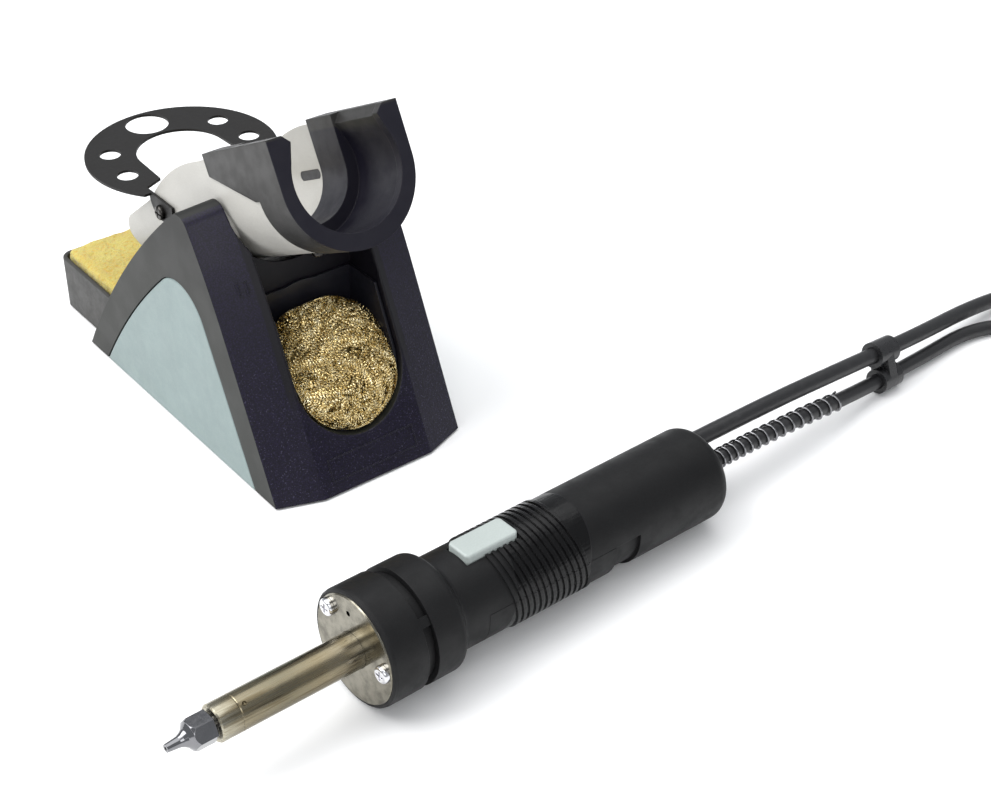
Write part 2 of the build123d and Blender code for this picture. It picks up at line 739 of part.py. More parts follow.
def make_heating_element():
    return pipe(barrel_radius - barrel_wall - 0.4, 1.9, barrel_front + 7, -3)


def make_suction_tube():
    return pipe(1.6, 1.0, barrel_front + 6.2, collector_front - seal_length - 0.1)


def make_nose_plate():
    plate = rod(nose_plate_radius, 0, nose_plate_thickness)
    plate = chamfer(plate.edges().sort_by(Axis.Z)[0], 0.4)
    plate -= rod(barrel_radius + 0.1, -1, 5) + rod(0.9, -1, 5, *nose_hole)
    for x, y in nose_screws:
        plate -= rod(screw_radius, -1, 5, x, y)
    return plate


def make_plate_screws():
    screws = []
    for x, y in nose_screws:
        head = rod(2.9, -1.9, -0.05, x, y)
        head = fillet(head.edges().sort_by(Axis.Z)[0], 1.0)
        cross = block(x - 1.7, x + 1.7, y - 0.35, y + 0.35, -3, -1.0)
        cross += block(x - 0.35, x + 0.35, y - 1.7, y + 1.7, -3, -1.0)
        screws.append(head + rod(screw_radius - 0.2, -1, 9.5, x, y) - cross)
    return only(screws)


def make_nose_ring():
    inner = 10.0
    spigot = ring_radius - groove_depth
    ring = turned([(nose_plate_radius + 0.1, ring_front), (ring_radius - 0.8, ring_front),
                   (ring_radius - 0.2, ring_front + 0.5), (ring_radius, ring_front + 1.4),
                   (ring_radius, ring_rear), (spigot, ring_rear), (spigot, groove_rear - 0.05),
                   (inner, groove_rear - 0.05), (inner, nose_plate_thickness + 0.05),
                   (nose_plate_radius + 0.1, nose_plate_thickness + 0.05)])
    for x, y in nose_screws:
        ring -= rod(screw_radius - 0.1, 0, 11, x, y)
    for angle in (20, 140, 260):
        tab = block(spigot - 0.5, ring_radius - 0.5, -1.6, 1.6, ring_rear - 0.5, groove_rear - 0.05)
        ring += Rot(0, 0, angle) * tab
    return ring


def grip_outline(shrink=0.0):
    """The handle's outline as (radius, station) edges, without its axis side."""
    r0, r1 = ring_radius - shrink, grip_front_radius - shrink
    r2 = grip_rear_radius - shrink
    first = Polyline((0, groove_rear), (r0, groove_rear), (r0, flare_rear - 1.0))
    ease = Spline((r0, flare_rear - 1.0), (r1, taper_rear), tangents=((0, 1), (0, 1)))
    side = Line((r1, taper_rear), (r2, grip_rear))
    rear = EllipticalCenterArc((r2 - handle_round, grip_rear), handle_round, handle_end - grip_rear,
                               start_angle=0, arc_size=90)
    close = Polyline((r2 - handle_round, handle_end), (0, handle_end), (0, groove_rear))
    return [first, ease, side, rear, close]


def grip_solid():
    return revolve(Plane.XZ * make_face(grip_outline()), Axis.Z)


def ribs():
    """Raised rings round the grip, each leaning back towards the top."""
    last = rib_first + rib_count * rib_pitch
    z0, z1 = rib_first - 10, last + 10
    sleeve = turned([(grip_radius(z0) - 1, z0), (grip_radius(z0) + rib_height, z0),
                     (grip_radius(z1) + rib_height, z1), (grip_radius(z1) - 1, z1)])
    slabs = []
    for k in range(rib_count):
        slab = Box(60, 60, 2 * rib_half)
        slabs.append(Pos(0, 0, rib_first + k * rib_pitch) * Rot(-rib_slant, 0, 0) * slab)
    return only([sleeve & slab for slab in slabs])


def below_seam(z0, z1, grow=0.0):
    return block(-far, far, -far, seam_rise + grow, z0 - grow, z1 + grow)


def cavity():
    r = grip_front_radius - handle_wall
    room = rod(r, cavity_front, cavity_rear)
    return room + rod(nose_plate_radius - 8, groove_rear - 2, cavity_front + 1)


def button_shape(grow=0.0):
    front, rear = button_front - grow, button_rear + grow
    return block(-button_half - grow, button_half + grow, grip_front_radius - handle_wall - 1.5,
                 button_top, front, rear)


def make_handle():
    handle = grip_solid() + ribs()
    handle -= cavity()
    handle -= below_seam(cover_front, cover_rear)
    scoop_radius = grip_radius(cover_rear) - notch_depth
    scoop = below_seam(cover_rear - 1, notch_rear) & pipe(far, scoop_radius, cover_rear - 1, notch_rear)
    handle -= scoop
    handle -= button_shape(button_gap) + block(-button_half - button_gap, button_half + button_gap, 0, far,
                                               button_front - button_gap, button_rear + button_gap)
    handle -= rod(hose_diameter / 2 + 1.3, cavity_rear - 1, handle_end + 1, *hose_exit)
    handle -= rod(cable_diameter / 2 + 2.0, cavity_rear - 1, handle_end + 1)
    return handle


def make_cover():
    inner = grip_front_radius - handle_wall + 0.3
    shell = (grip_solid() + ribs()) & below_seam(cover_front, cover_rear, -cover_gap)
    shell -= rod(inner, 0, handle_end)
    return shell


def make_button():
    cap = block(-button_half, button_half, grip_front_radius - handle_wall - 0.4, button_top,
                button_front, button_rear)
    cap = fillet(cap.edges().filter_by(Axis.Y), 1.6)
    cap = fillet(cap.faces().sort_by(Axis.Y)[-1].edges(), 0.8)
    top = grip_front_radius - handle_wall - 2.3
    flange = block(-button_half - button_flange, button_half + button_flange, top - 0.9, top,
                   button_front - button_flange, button_rear + button_flange)
    stem = block(-button_half + 0.8, button_half - 0.8, top - 0.5, grip_front_radius - handle_wall,
                 button_front + 1, button_rear - 1)
    return cap + stem + flange


spring_foot = board_height + board_thickness
button_underside = grip_front_radius - handle_wall - 3.2


def make_button_spring():
    height = button_underside - spring_foot - spring_wire - 0.1
    path = Helix(pitch=height / 4, height=height, radius=spring_radius)
    wire = sweep((path ^ 0) * Circle(spring_wire / 2), path=path, is_frenet=True)
    foot = spring_foot + spring_wire / 2 + 0.05
    return Pos(0, foot, spring_at) * Rot(-90, 0, 0) * wire


def make_switch_board():
    start = cover_front + 1.5
    return block(-board_half, board_half, board_height, spring_foot, start, start + board_length)


def make_microswitch():
    z0, z1 = switch_at
    body = block(-switch_half, switch_half, spring_foot + 0.02, spring_foot + switch_height, z0, z1)
    plunger_top = button_underside - button_travel - 0.1
    return body + block(-0.8, 0.8, spring_foot + 1, plunger_top, z0 + 2, z0 + 3.6)


def make_collector():
    inner = collector_radius - collector_wall
    return pipe(collector_radius, inner, collector_front, collector_rear, 0, -collector_drop)


def make_collector_seals():
    outer, inner = collector_radius + 0.2, collector_radius - collector_wall - 0.1
    front = rod(outer, collector_front - seal_length, collector_front - 0.05, 0, -collector_drop)
    front += rod(inner, collector_front - 1, collector_front + 2.5, 0, -collector_drop)
    front -= rod(1.65, 0, collector_front + 5)
    rear = rod(outer, collector_rear + 0.05, collector_rear + seal_length, 0, -collector_drop)
    rear += rod(inner, collector_rear - 2.5, collector_rear + 1, 0, -collector_drop)
    rear -= rod(1.5, collector_rear - 5, collector_rear + 10, 0, -collector_drop)
    return only([front, rear])


def make_filter():
    radius = collector_radius - collector_wall - 0.15
    return rod(radius, collector_rear - 9, collector_rear - 2.7, 0, -collector_drop)


def corner_radii(points):
    """The largest even arcs for a route: 0.45 of the shorter run, over the tangent of half the turn."""
    radii = []
    for before, at, after in zip(points, points[1:], points[2:]):
        run_in, run_out = Vector(at) - Vector(before), Vector(after) - Vector(at)
        turn = math.radians(run_in.get_angle(run_out))
        radii.append(0.45 * min(run_in.length, run_out.length) / math.tan(turn / 2))
    return radii


def route_path(points):
    return FilletPolyline(*points, radius=corner_radii(points))


def tube_along(points, outer, inner=0.0):
    """A straight-and-arc tube of a given radius along a route."""
    path = route_path(points)
    start = Plane(origin=path @ 0, z_dir=path % 0)
    section = Circle(outer) - Circle(inner) if inner else Circle(outer)
    return sweep(start * section, path=path)


inner_hose_route = [
    (0, -collector_drop, collector_rear + seal_length + 0.05),
    (0, -collector_drop, collector_rear + 14),
    (hose_exit[0], hose_exit[1], collector_rear + 34),
    (hose_exit[0], hose_exit[1], cavity_rear - 4.0),
]


def make_inner_hose():
    return tube_along(inner_hose_route, 2.4, 1.4)


def make_nipple():
    start = cavity_rear - 3.95
    nipple = pipe(1.9, 1.2, start, handle_end + gland_proud - 0.05, *hose_exit)
    return nipple + pipe(3.4, 1.2, start, start + 1.35, *hose_exit)


def make_glands():
    end = handle_end + gland_proud
    hose_gland = pipe(hose_diameter / 2 + 1.25, 1.95, cavity_rear + 0.5, handle_end - 0.1, *hose_exit)
    hose_gland += pipe(hose_diameter / 2 + 0.7, 1.95, handle_end - 0.2, end, *hose_exit)
    cable_gland = rod(cable_diameter / 2 + 1.95, cavity_rear + 0.5, end)
    return only([hose_gland, cable_gland])


def make_terminal_board():
    return block(-6.5, 6.5, -9.5, -8.5, collector_rear + 18, collector_rear + 44)


# ------------------------------------------------------------------ cords on the bench
def world(point):
    return (point.X, point.Y, point.Z)


hose_points = [world(iron_point(hose_exit[0], hose_exit[1], handle_end + gland_proud))] + hose_route
cable_points = [world(iron_point(0, 0, handle_end + gland_proud))] + cable_route
hose_top = hose_diameter / 2 + layer_step * hose_diameter
cable_top = cable_diameter / 2 + layer_step * cable_diameter


def coil_solid(centre, turns, diameter, top):
    inner = turns[0] - diameter / 2 - 0.4
    outer = turns[-1] + diameter / 2 + 0.4
    ring = pipe(outer, inner, 0.02, top + diameter / 2, *centre)
    return fillet(ring.edges().filter_by(GeomType.CIRCLE), diameter * 0.3)


hose_tail_start = (hose_coil_centre[0] + hose_coil_upper[-1], hose_coil_centre[1] + 14, hose_top)
hose_tail_end = (hose_tail_start[0], hose_tail_start[1] + tail_length, fitting_radius + 0.05)
cable_tail_start = (cable_coil_centre[0] + 14, cable_coil_centre[1] - cable_coil_upper[-1], cable_top)
cable_tail_end = (cable_tail_start[0] + tail_length, cable_tail_start[1], plug_radius + 0.05)


def straight(start, end, radius):
    line = Line(start, end)
    return sweep(Plane(origin=start, z_dir=line % 0) * Circle(radius), path=line)


def make_strain_spring():
    """The sleeve that the strain relief's spring fills, over the cable from the handle's end."""
    path = route_path(cable_points)
    run = path.trim(0, strain_length / path.length)
    inner = cable_diameter / 2 + 0.15
    section = Circle(inner + strain_wire) - Circle(inner)
    return sweep(Plane(origin=run @ 0, z_dir=run % 0) * section, path=run)


def at_x(points, x):
    """Where the straight run of a route crosses a plane across X, and its direction."""
    for start, end in zip(points, points[1:]):
        if start[0] <= x <= end[0]:
            a, b = Vector(start), Vector(end)
            share = (x - a.X) / (b.X - a.X)
            return a + (b - a) * share, (b - a).normalized()


def make_clip():
    parts = []
    cuts = []
    centres = []
    for points, diameter in ((hose_points, hose_diameter), (cable_points, cable_diameter)):
        place, heading = at_x(points, clip_x)
        frame = Plane(origin=place, z_dir=heading).location
        half = clip_length / 2
        parts.append(frame * rod(diameter / 2 + clip_wall, -half, half))
        cuts.append(frame * rod(diameter / 2 + clip_gap, -half - 5, half + 5))
        centres.append(place)
    bridge_frame = Plane(origin=(centres[0] + centres[1]) / 2, z_dir=centres[0] - centres[1]).location
    bridge = bridge_frame * Box(clip_length - 1.0, 3.6, (centres[0] - centres[1]).length)
    clip = parts[0] + parts[1] + bridge
    return clip - cuts[0] - cuts[1]


plug_heading = Rot(0, 90, 0)


def plug_frame():
    return Pos(cable_tail_end[0], cable_tail_end[1], plug_radius + 0.05) * plug_heading


def make_plug_body():
    body = turned([(0, 0), (4.2, 0), (5.2, 6), (plug_radius - 1.2, 9),
                   (plug_radius - 1.2, plug_length), (0, plug_length)])
    return plug_frame() * (body - rod(plug_radius - 2.4, plug_length - 6, plug_length + 1))


def make_plug_nut():
    z1 = plug_length + 1.0
    nut = pipe(plug_radius, plug_radius - 1.15, z1 - plug_nut_length, z1)
    return plug_frame() * chamfer(nut.edges().filter_by(GeomType.CIRCLE).sort_by(SortBy.RADIUS)[-2:], 0.5)


def make_plug_pins():
    pins = []
    for k in range(plug_pins):
        a = 2 * math.pi * k / plug_pins
        pin = rod(0.6, plug_length - 5.95, plug_length + 0.5, 3.2 * math.cos(a), 3.2 * math.sin(a))
        pins.append(plug_frame() * pin)
    return only(pins)


def make_hose_fitting():
    body = turned([(0, 0), (3.6, 0), (3.6, 4), (fitting_radius, 4.6), (fitting_radius, 9), (3.4, 9.6),
                   (3.4, 13), (2.9, 13), (3.5, 15), (2.9, 17), (3.5, 19), (2.9, 21), (3.3, 22.4),
                   (2.6, fitting_length), (0, fitting_length)])
    body -= rod(1.5, -1, fitting_length + 1)
    start = (hose_tail_end[0], hose_tail_end[1], fitting_radius + 0.05)
    return Pos(*start) * Rot(-90, 0, 0) * body


# ------------------------------------------------------------------ every node
def iron(shape):
    return iron_frame * shape


def holder(shape):
    return holder_frame * shape


panel_right = make_side_panel()
nodes = {
    "base_shell": make_base_shell(),
    "side_panel_right": panel_right,
    "side_panel_left": mirror(panel_right, about=Plane.YZ),
    "base_plate": make_base_plate(),
    "base_screws": make_base_screws(),
    "ballast_block": make_ballast(),
    "rubber_feet": make_feet(),
    "pivot_bushes": make_bushes(),
    "friction_washers": make_washers(),
    "holder_cradle": holder(make_cradle()),
    "holder_collar": holder(make_collar()),
    "collar_screw": holder(make_collar_screw()),
    "slot_inserts": holder(make_slot_inserts()),
    "nozzle_rack": make_rack(),
    "rack_screws": make_rack_screws(),
    "sponge_tray": make_tray(),
    "sponge": make_sponge(),
    "wool_cup": make_cup(),
    "brass_wool": make_wool(),
    "nozzle": iron(make_nozzle()),
    "heater_barrel": iron(make_barrel()),
    "heating_element": iron(make_heating_element()),
    "suction_tube": iron(make_suction_tube()),
    "nose_plate": iron(make_nose_plate()),
    "plate_screws": iron(make_plate_screws()),
    "nose_ring": iron(make_nose_ring()),
    "handle_shell": iron(make_handle()),
    "collector_cover": iron(make_cover()),
    "trigger_button": iron(make_button()),
    "button_spring": iron(make_button_spring()),
    "switch_board": iron(make_switch_board()),
    "microswitch": iron(make_microswitch()),
    "solder_collector": iron(make_collector()),
    "collector_seals": iron(make_collector_seals()),
    "collector_filter": iron(make_filter()),
    "inner_hose": iron(make_inner_hose()),
    "hose_nipple": iron(make_nipple()),
    "handle_glands": iron(make_glands()),
    "terminal_board": iron(make_terminal_board()),
    "strain_spring": make_strain_spring(),
    "cable_clip": make_clip(),
    "hose_tube": tube_along(hose_points, hose_diameter / 2),
    "cable_tube": tube_along(cable_points, cable_diameter / 2),
    "hose_coil": coil_solid(hose_coil_centre, hose_coil_turns, hose_diameter, hose_top),
    "cable_coil": coil_solid(cable_coil_centre, cable_coil_turns, cable_diameter, cable_top),
    "hose_tail": straight(hose_tail_start, hose_tail_end, hose_diameter / 2),
    "cable_tail": straight(cable_tail_start, cable_tail_end, cable_diameter / 2),
    "plug_body": make_plug_body(),
    "plug_nut": make_plug_nut(),
    "plug_pins": make_plug_pins(),
    "hose_fitting": make_hose_fitting(),
}

os.makedirs("parts", exist_ok=True)
for name, shape in nodes.items():
    export_step(shape, os.path.join("parts", name + ".step"))

for label, points, diameter in (("hose", hose_points, hose_diameter), ("cable", cable_points, cable_diameter)):
    path = route_path(points)
    volume = nodes[label + "_tube"].volume
    ideal = path.length * math.pi * diameter ** 2 / 4
    print(label, "tube length", round(path.length, 1), "volume over ideal", round(volume / ideal, 4))
    print("  radii in diameters", [round(r / diameter, 1) for r in corner_radii(points)])
print("iron frame origin", world(iron_origin), "along", world(iron_z), "up", world(iron_y))
print("rack pivot", world(rack_pivot))
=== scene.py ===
"""Looks of the soldering station stand and its desoldering iron."""
import bpy
import bmesh
import math
import random
from mathutils import Matrix, Vector, noise


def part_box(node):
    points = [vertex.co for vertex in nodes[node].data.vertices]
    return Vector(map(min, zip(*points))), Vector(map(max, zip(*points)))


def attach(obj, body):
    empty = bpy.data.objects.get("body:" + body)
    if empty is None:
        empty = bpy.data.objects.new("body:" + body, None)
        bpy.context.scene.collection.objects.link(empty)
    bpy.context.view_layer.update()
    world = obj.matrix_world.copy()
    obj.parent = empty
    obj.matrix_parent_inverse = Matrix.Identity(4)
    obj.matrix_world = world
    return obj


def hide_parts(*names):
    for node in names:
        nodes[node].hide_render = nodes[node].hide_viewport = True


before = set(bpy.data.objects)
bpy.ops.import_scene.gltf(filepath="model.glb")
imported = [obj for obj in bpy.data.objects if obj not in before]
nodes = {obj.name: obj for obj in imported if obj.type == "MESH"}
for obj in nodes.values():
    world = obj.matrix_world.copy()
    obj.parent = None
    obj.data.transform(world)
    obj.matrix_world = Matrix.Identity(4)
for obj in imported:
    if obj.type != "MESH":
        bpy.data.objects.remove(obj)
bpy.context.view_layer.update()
MM = 0.001
random.seed(7)


# ------------------------------------------------------------------ frames of the two tilted groups
HOLDER_TILT = math.radians(27.6)
HOLDER_PIVOT = (-17.0, 86.0)
AXIS_ABOVE_PIVOT = 6.1
IRON_YAW = math.radians(2.8)
IRON_PLACE = (-69.1, -156.8)
RING_RADIUS, RING_STATION = 19.6, 27.5
GRIP_RADIUS, GRIP_STATION = 16.4, 140.0
BENCH_GAP = 0.02


def holder_matrix():
    tilt = HOLDER_TILT
    z = Vector((0, -math.cos(tilt), math.sin(tilt)))
    y = Vector((0, math.sin(tilt), math.cos(tilt)))
    origin = Vector((0, *HOLDER_PIVOT)) + y * AXIS_ABOVE_PIVOT
    m = Matrix.Identity(4)
    for i, axis in enumerate((Vector((1, 0, 0)), y, z)):
        m.col[i] = axis.to_4d()
        m.col[i][3] = 0
    m.translation = origin * MM
    return m


def iron_matrix():
    """The iron lies on its nose ring and its grip's rear, so its axis falls to the rear."""
    pitch = math.asin((RING_RADIUS - GRIP_RADIUS) / (GRIP_STATION - RING_STATION))
    level = Vector((math.cos(IRON_YAW), math.sin(IRON_YAW), 0))
    z = level * math.cos(pitch) - Vector((0, 0, math.sin(pitch)))
    x = Vector((-math.sin(IRON_YAW), math.cos(IRON_YAW), 0))
    y = z.cross(x)
    height = RING_STATION * math.sin(pitch) + RING_RADIUS * math.cos(pitch) + BENCH_GAP
    m = Matrix.Identity(4)
    for i, axis in enumerate((x, y, z)):
        m.col[i] = axis.to_4d()
        m.col[i][3] = 0
    m.translation = Vector((*IRON_PLACE, height)) * MM
    return m


HOLDER = holder_matrix()
IRON = iron_matrix()


def iron_at(x, y, z):
    return IRON @ Vector((x * MM, y * MM, z * MM))


# ------------------------------------------------------------------ camera, lights, floor
CAMERA_PLACE = (-0.29427, -0.51643, 0.40605)
CAMERA_AIM = (0.5015, 0.6480, -0.5733)
CAMERA_LENS = 69.62


def add_camera():
    data = bpy.data.cameras.new("camera")
    data.lens = CAMERA_LENS
    data.sensor_width = 36.0
    data.clip_start = 0.01
    cam = bpy.data.objects.new("camera", data)
    bpy.context.scene.collection.objects.link(cam)
    cam.location = CAMERA_PLACE
    cam.rotation_euler = Vector(CAMERA_AIM).to_track_quat("-Z", "Y").to_euler()
    bpy.context.scene.camera = cam


def add_area(name, place, target, size, power, color=(1, 1, 1)):
    data = bpy.data.lights.new(name, "AREA")
    data.shape = "RECTANGLE"
    data.size, data.size_y = size
    data.energy = power
    data.color = color
    light = bpy.data.objects.new(name, data)
    bpy.context.scene.collection.objects.link(light)
    light.location = place
    light.rotation_euler = (Vector(target) - Vector(place)).to_track_quat("-Z", "Y").to_euler()


def add_stage():
    mesh = bpy.data.meshes.new("floor")
    reach = 6.0
    corners = [(x * reach, y * reach, 0) for x, y in ((-1, -1), (1, -1), (1, 1), (-1, 1))]
    mesh.from_pydata(corners, [], [(0, 1, 2, 3)])
    floor = bpy.data.objects.new("floor", mesh)
    bpy.context.scene.collection.objects.link(floor)
    return floor


# ------------------------------------------------------------------ material toolkit
class Shader:
    """A Principled material with short calls for its procedural nodes."""

    def __init__(self, name, color, rough=0.5, metal=0.0, bevel=0.0, **extra):
        self.mat = bpy.data.materials.new(name)
        self.mat.use_nodes = True
        self.tree = self.mat.node_tree
        self.bsdf = self.tree.nodes["Principled BSDF"]
        self.bsdf.inputs["Base Color"].default_value = (*color, 1)
        self.bsdf.inputs["Roughness"].default_value = rough
        self.bsdf.inputs["Metallic"].default_value = metal
        for key, value in extra.items():
            self.bsdf.inputs[key.replace("_", " ")].default_value = value
        self.normal = None
        if bevel:
            node = self.new("ShaderNodeBevel")
            node.samples = 4
            node.inputs["Radius"].default_value = bevel * MM
            self.normal = node.outputs["Normal"]
            self.link(self.normal, self.bsdf.inputs["Normal"])

    def new(self, kind):
        return self.tree.nodes.new(kind)

    def link(self, a, b):
        self.tree.links.new(a, b)

    def put(self, value, socket):
        if hasattr(value, "links"):
            self.link(value, socket)
        else:
            socket.default_value = value

    def coords(self, matrix=None, stretch=(1, 1, 1)):
        """Object coordinates in millimetres, in the world or in a tilted frame."""
        out = self.new("ShaderNodeTexCoord").outputs["Object"]
        if matrix is not None:
            node = self.new("ShaderNodeMapping")
            node.vector_type = "TEXTURE"
            node.inputs["Location"].default_value = matrix.translation
            node.inputs["Rotation"].default_value = matrix.to_euler()
            self.link(out, node.inputs["Vector"])
            out = node.outputs["Vector"]
        node = self.new("ShaderNodeVectorMath")
        node.operation = "MULTIPLY"
        self.link(out, node.inputs[0])
        node.inputs[1].default_value = [1000.0 * s for s in stretch]
        return node.outputs[0]

    def noise(self, vec, size, detail=3.0, rough=0.55, distortion=0.0):
        node = self.new("ShaderNodeTexNoise")
        self.link(vec, node.inputs["Vector"])
        node.inputs["Scale"].default_value = 1.0 / size
        node.inputs["Detail"].default_value = detail
        node.inputs["Roughness"].default_value = rough
        node.inputs["Distortion"].default_value = distortion
        return node.outputs["Fac"]

    def cells(self, vec, size, feature="F1", output="Distance"):
        node = self.new("ShaderNodeTexVoronoi")
        node.feature = feature
        self.link(vec, node.inputs["Vector"])
        node.inputs["Scale"].default_value = 1.0 / size
        return node.outputs[output]

    def axis(self, vec, index):
        node = self.new("ShaderNodeSeparateXYZ")
        self.link(vec, node.inputs[0])
        return node.outputs[index]

    def ramp(self, fac, lo, hi, out_lo=0.0, out_hi=1.0, smooth=True):
        node = self.new("ShaderNodeMapRange")
        node.interpolation_type = "SMOOTHSTEP" if smooth else "LINEAR"
        self.link(fac, node.inputs["Value"])
        limits = (("From Min", lo), ("From Max", hi), ("To Min", out_lo), ("To Max", out_hi))
        for key, value in limits:
            node.inputs[key].default_value = value
        return node.outputs["Result"]

    def math(self, operation, a, b=0.0):
        node = self.new("ShaderNodeMath")
        node.operation = operation
        self.put(a, node.inputs[0])
        self.put(b, node.inputs[1])
        return node.outputs[0]

    def blend(self, fac, a, b, mode="MIX"):
        node = self.new("ShaderNodeMix")
        node.data_type = "RGBA"
        node.blend_type = mode
        self.put(fac, node.inputs[0])
        self.put((*a, 1) if isinstance(a, tuple) else a, node.inputs[6])
        self.put((*b, 1) if isinstance(b, tuple) else b, node.inputs[7])
        return node.outputs[2]

    def stops(self, fac, colors):
        node = self.new("ShaderNodeValToRGB")
        self.link(fac, node.inputs[0])
        ramp = node.color_ramp
        while len(ramp.elements) < len(colors):
            ramp.elements.new(0.5)
        for element, (place, color) in zip(ramp.elements, colors):
            element.position = place
            element.color = (*color, 1)
        return node.outputs["Color"]

    def bump(self, height, depth, strength=1.0):
        """A bump of a given depth in millimetres."""
        node = self.new("ShaderNodeBump")
        node.inputs["Strength"].default_value = strength
        node.inputs["Distance"].default_value = depth * MM
        self.link(height, node.inputs["Height"])
        if self.normal is not None:
            self.link(self.normal, node.inputs["Normal"])
        self.normal = node.outputs["Normal"]
        self.link(self.normal, self.bsdf.inputs["Normal"])

    def color(self, value):
        self.link(value, self.bsdf.inputs["Base Color"])

    def rough(self, value):
        self.link(value, self.bsdf.inputs["Roughness"])


def moulded(name, color, rough, grain=0.5, depth=0.03, matrix=None, wear=0.12, bevel=0.35, **extra):
    """Moulded plastic: fine spark-eroded grain, faint flow marks and handling marks."""
    s = Shader(name, color, rough, bevel=bevel, **extra)
    vec = s.coords(matrix)
    fine = s.noise(vec, grain, 4.0, 0.65)
    broad = s.noise(vec, 17.0, 3.0, 0.5)
    dark = tuple(c * (1 - wear) for c in color)
    light = tuple(min(1.0, c * (1 + wear)) for c in color)
    tone = s.blend(s.ramp(broad, 0.35, 0.65), dark, light)
    s.color(s.blend(s.ramp(fine, 0.3, 0.7, 0.0, 0.5), tone, tuple(c * 0.8 for c in color)))
    marks = s.noise(vec, 6.0, 5.0, 0.7)
    s.rough(s.ramp(marks, 0.3, 0.7, rough - 0.07, rough + 0.09))
    s.bump(fine, depth)
    return s


def metal(name, color, rough, grain=1.2, stretch=(1, 1, 1), matrix=None, bevel=0.15, tone=0.15,
          depth=0.004):
    """Turned, drawn or polished metal, with a lay along one axis."""
    s = Shader(name, color, rough, 1.0, bevel=bevel)
    vec = s.coords(matrix, stretch)
    lay = s.noise(vec, grain, 5.0, 0.7)
    blotch = s.noise(s.coords(matrix), 9.0, 3.0, 0.6)
    s.color(s.blend(s.ramp(blotch, 0.35, 0.7), color, tuple(c * (1 - tone) for c in color)))
    s.rough(s.ramp(lay, 0.3, 0.7, rough * 0.75, rough * 1.35))
    s.bump(lay, depth)
    return s


def assign(shader, *names):
    for name in names:
        data = nodes[name].data if name in nodes else bpy.data.objects[name].data
        if not data.materials:
            data.materials.append(shader.mat)
        for i in range(len(data.materials)):
            data.materials[i] = shader.mat


# ------------------------------------------------------------------ mesh helpers
def make_object(name, verts, faces, smooth=True):
    mesh = bpy.data.meshes.new(name)
    mesh.from_pydata([tuple(v) for v in verts], [], faces)
    mesh.validate()
    mesh.polygons.foreach_set("use_smooth", [smooth] * len(mesh.polygons))
    obj = bpy.data.objects.new(name, mesh)
    bpy.context.scene.collection.objects.link(obj)
    return obj


def make_spline(name, points, diameter, order=3, resolution=8, bevel_resolution=5):
    curve = bpy.data.curves.new(name, "CURVE")
    curve.dimensions = "3D"
    curve.bevel_depth = 1.0
    curve.bevel_resolution = bevel_resolution
    curve.resolution_u = resolution
    curve.use_fill_caps = True
    spline = curve.splines.new("NURBS")
    spline.points.add(len(points) - 1)
    for point, place in zip(spline.points, points):
        point.co = (place[0] * MM, place[1] * MM, place[2] * MM, 1)
        point.radius = diameter * MM / 2
    spline.order_u = order
    spline.use_endpoint_u = True
    obj = bpy.data.objects.new(name, curve)
    bpy.context.scene.collection.objects.link(obj)
    return obj


def line_of(obj):
    """The points of a curve's own line, in metres, read with its bevel off."""
    depth = obj.data.bevel_depth
    obj.data.bevel_depth = 0
    bpy.context.view_layer.update()
    mesh = bpy.data.meshes.new_from_object(obj.evaluated_get(bpy.context.evaluated_depsgraph_get()))
    points = [v.co.copy() for v in mesh.vertices]
    bpy.data.meshes.remove(mesh)
    obj.data.bevel_depth = depth
    return points


# ------------------------------------------------------------------ cords
HOSE = 6.0
CABLE = 5.5
CORD_EXIT = 145.8
hose_exit = iron_at(7.3, 5.5, CORD_EXIT) / MM
cable_exit = iron_at(0, 0, CORD_EXIT) / MM
hose_route = [
    hose_exit, (117.5, -140.4, 20.4), (160.0, -137.9, 16.6), (200.0, -135.0, 12.4),
    (238.0, -129.2, 7.2), (266.0, -128.8, 3.6), (288.0, -139.0, 3.05), (310.0, -156.4, 3.05),
    (330.0, -160.6, 3.05),
]
cable_route = [
    cable_exit, (117.5, -147.5, 14.7), (160.0, -141.9, 6.5), (200.0, -138.0, 3.5),
    (236.0, -135.0, 2.8), (257.0, -150.5, 2.8), (267.5, -177.0, 2.8), (268.0, -203.0, 2.8),
]
POINTS_PER_TURN = 16


def coil_points(centre, start_angle, outer, inner, pitch, low, high):
    """Two layers of turns: inwards on the bench, a short climb, then outwards on top."""
    turns_in = (outer - inner) / pitch
    climb = 0.25
    total = 2 * turns_in + climb
    count = int(total * POINTS_PER_TURN)
    points = []
    for k in range(1, count + 1):
        t = total * k / count
        if t < turns_in:
            r, z = outer - pitch * t, low
        elif t < turns_in + climb:
            r, z = inner, low + (high - low) * (t - turns_in) / climb
        else:
            r, z = inner + pitch * (t - turns_in - climb), high
        a = start_angle + 2 * math.pi * t
        r += 0.5 * math.sin(2.3 * a)
        points.append((centre[0] + r * math.cos(a), centre[1] + r * math.sin(a), z))
    return points


def make_cords():
    hose_points = list(hose_route)
    hose_points += coil_points((338.0, -122.0), -math.pi / 2, 39.0, 27.0, HOSE, 3.05, 8.7)
    hose_points += [(376.0, -110.0, 8.4), (374.6, -98.0, 6.6), (374.0, -88.0, 5.2),
                    (374.0, -80.0, 4.85)]
    hose = make_spline("vacuum_hose", hose_points, HOSE)
    cable_points = list(cable_route)
    cable_points += coil_points((305.0, -212.0), math.pi, 37.0, 26.0, CABLE, 2.8, 8.0)
    cable_points += [(317.0, -248.4, 8.1), (329.0, -247.0, 8.05), (339.0, -246.4, 8.05),
                     (347.0, -246.4, 8.05)]
    cable = make_spline("power_cable", cable_points, CABLE)
    return hose, cable


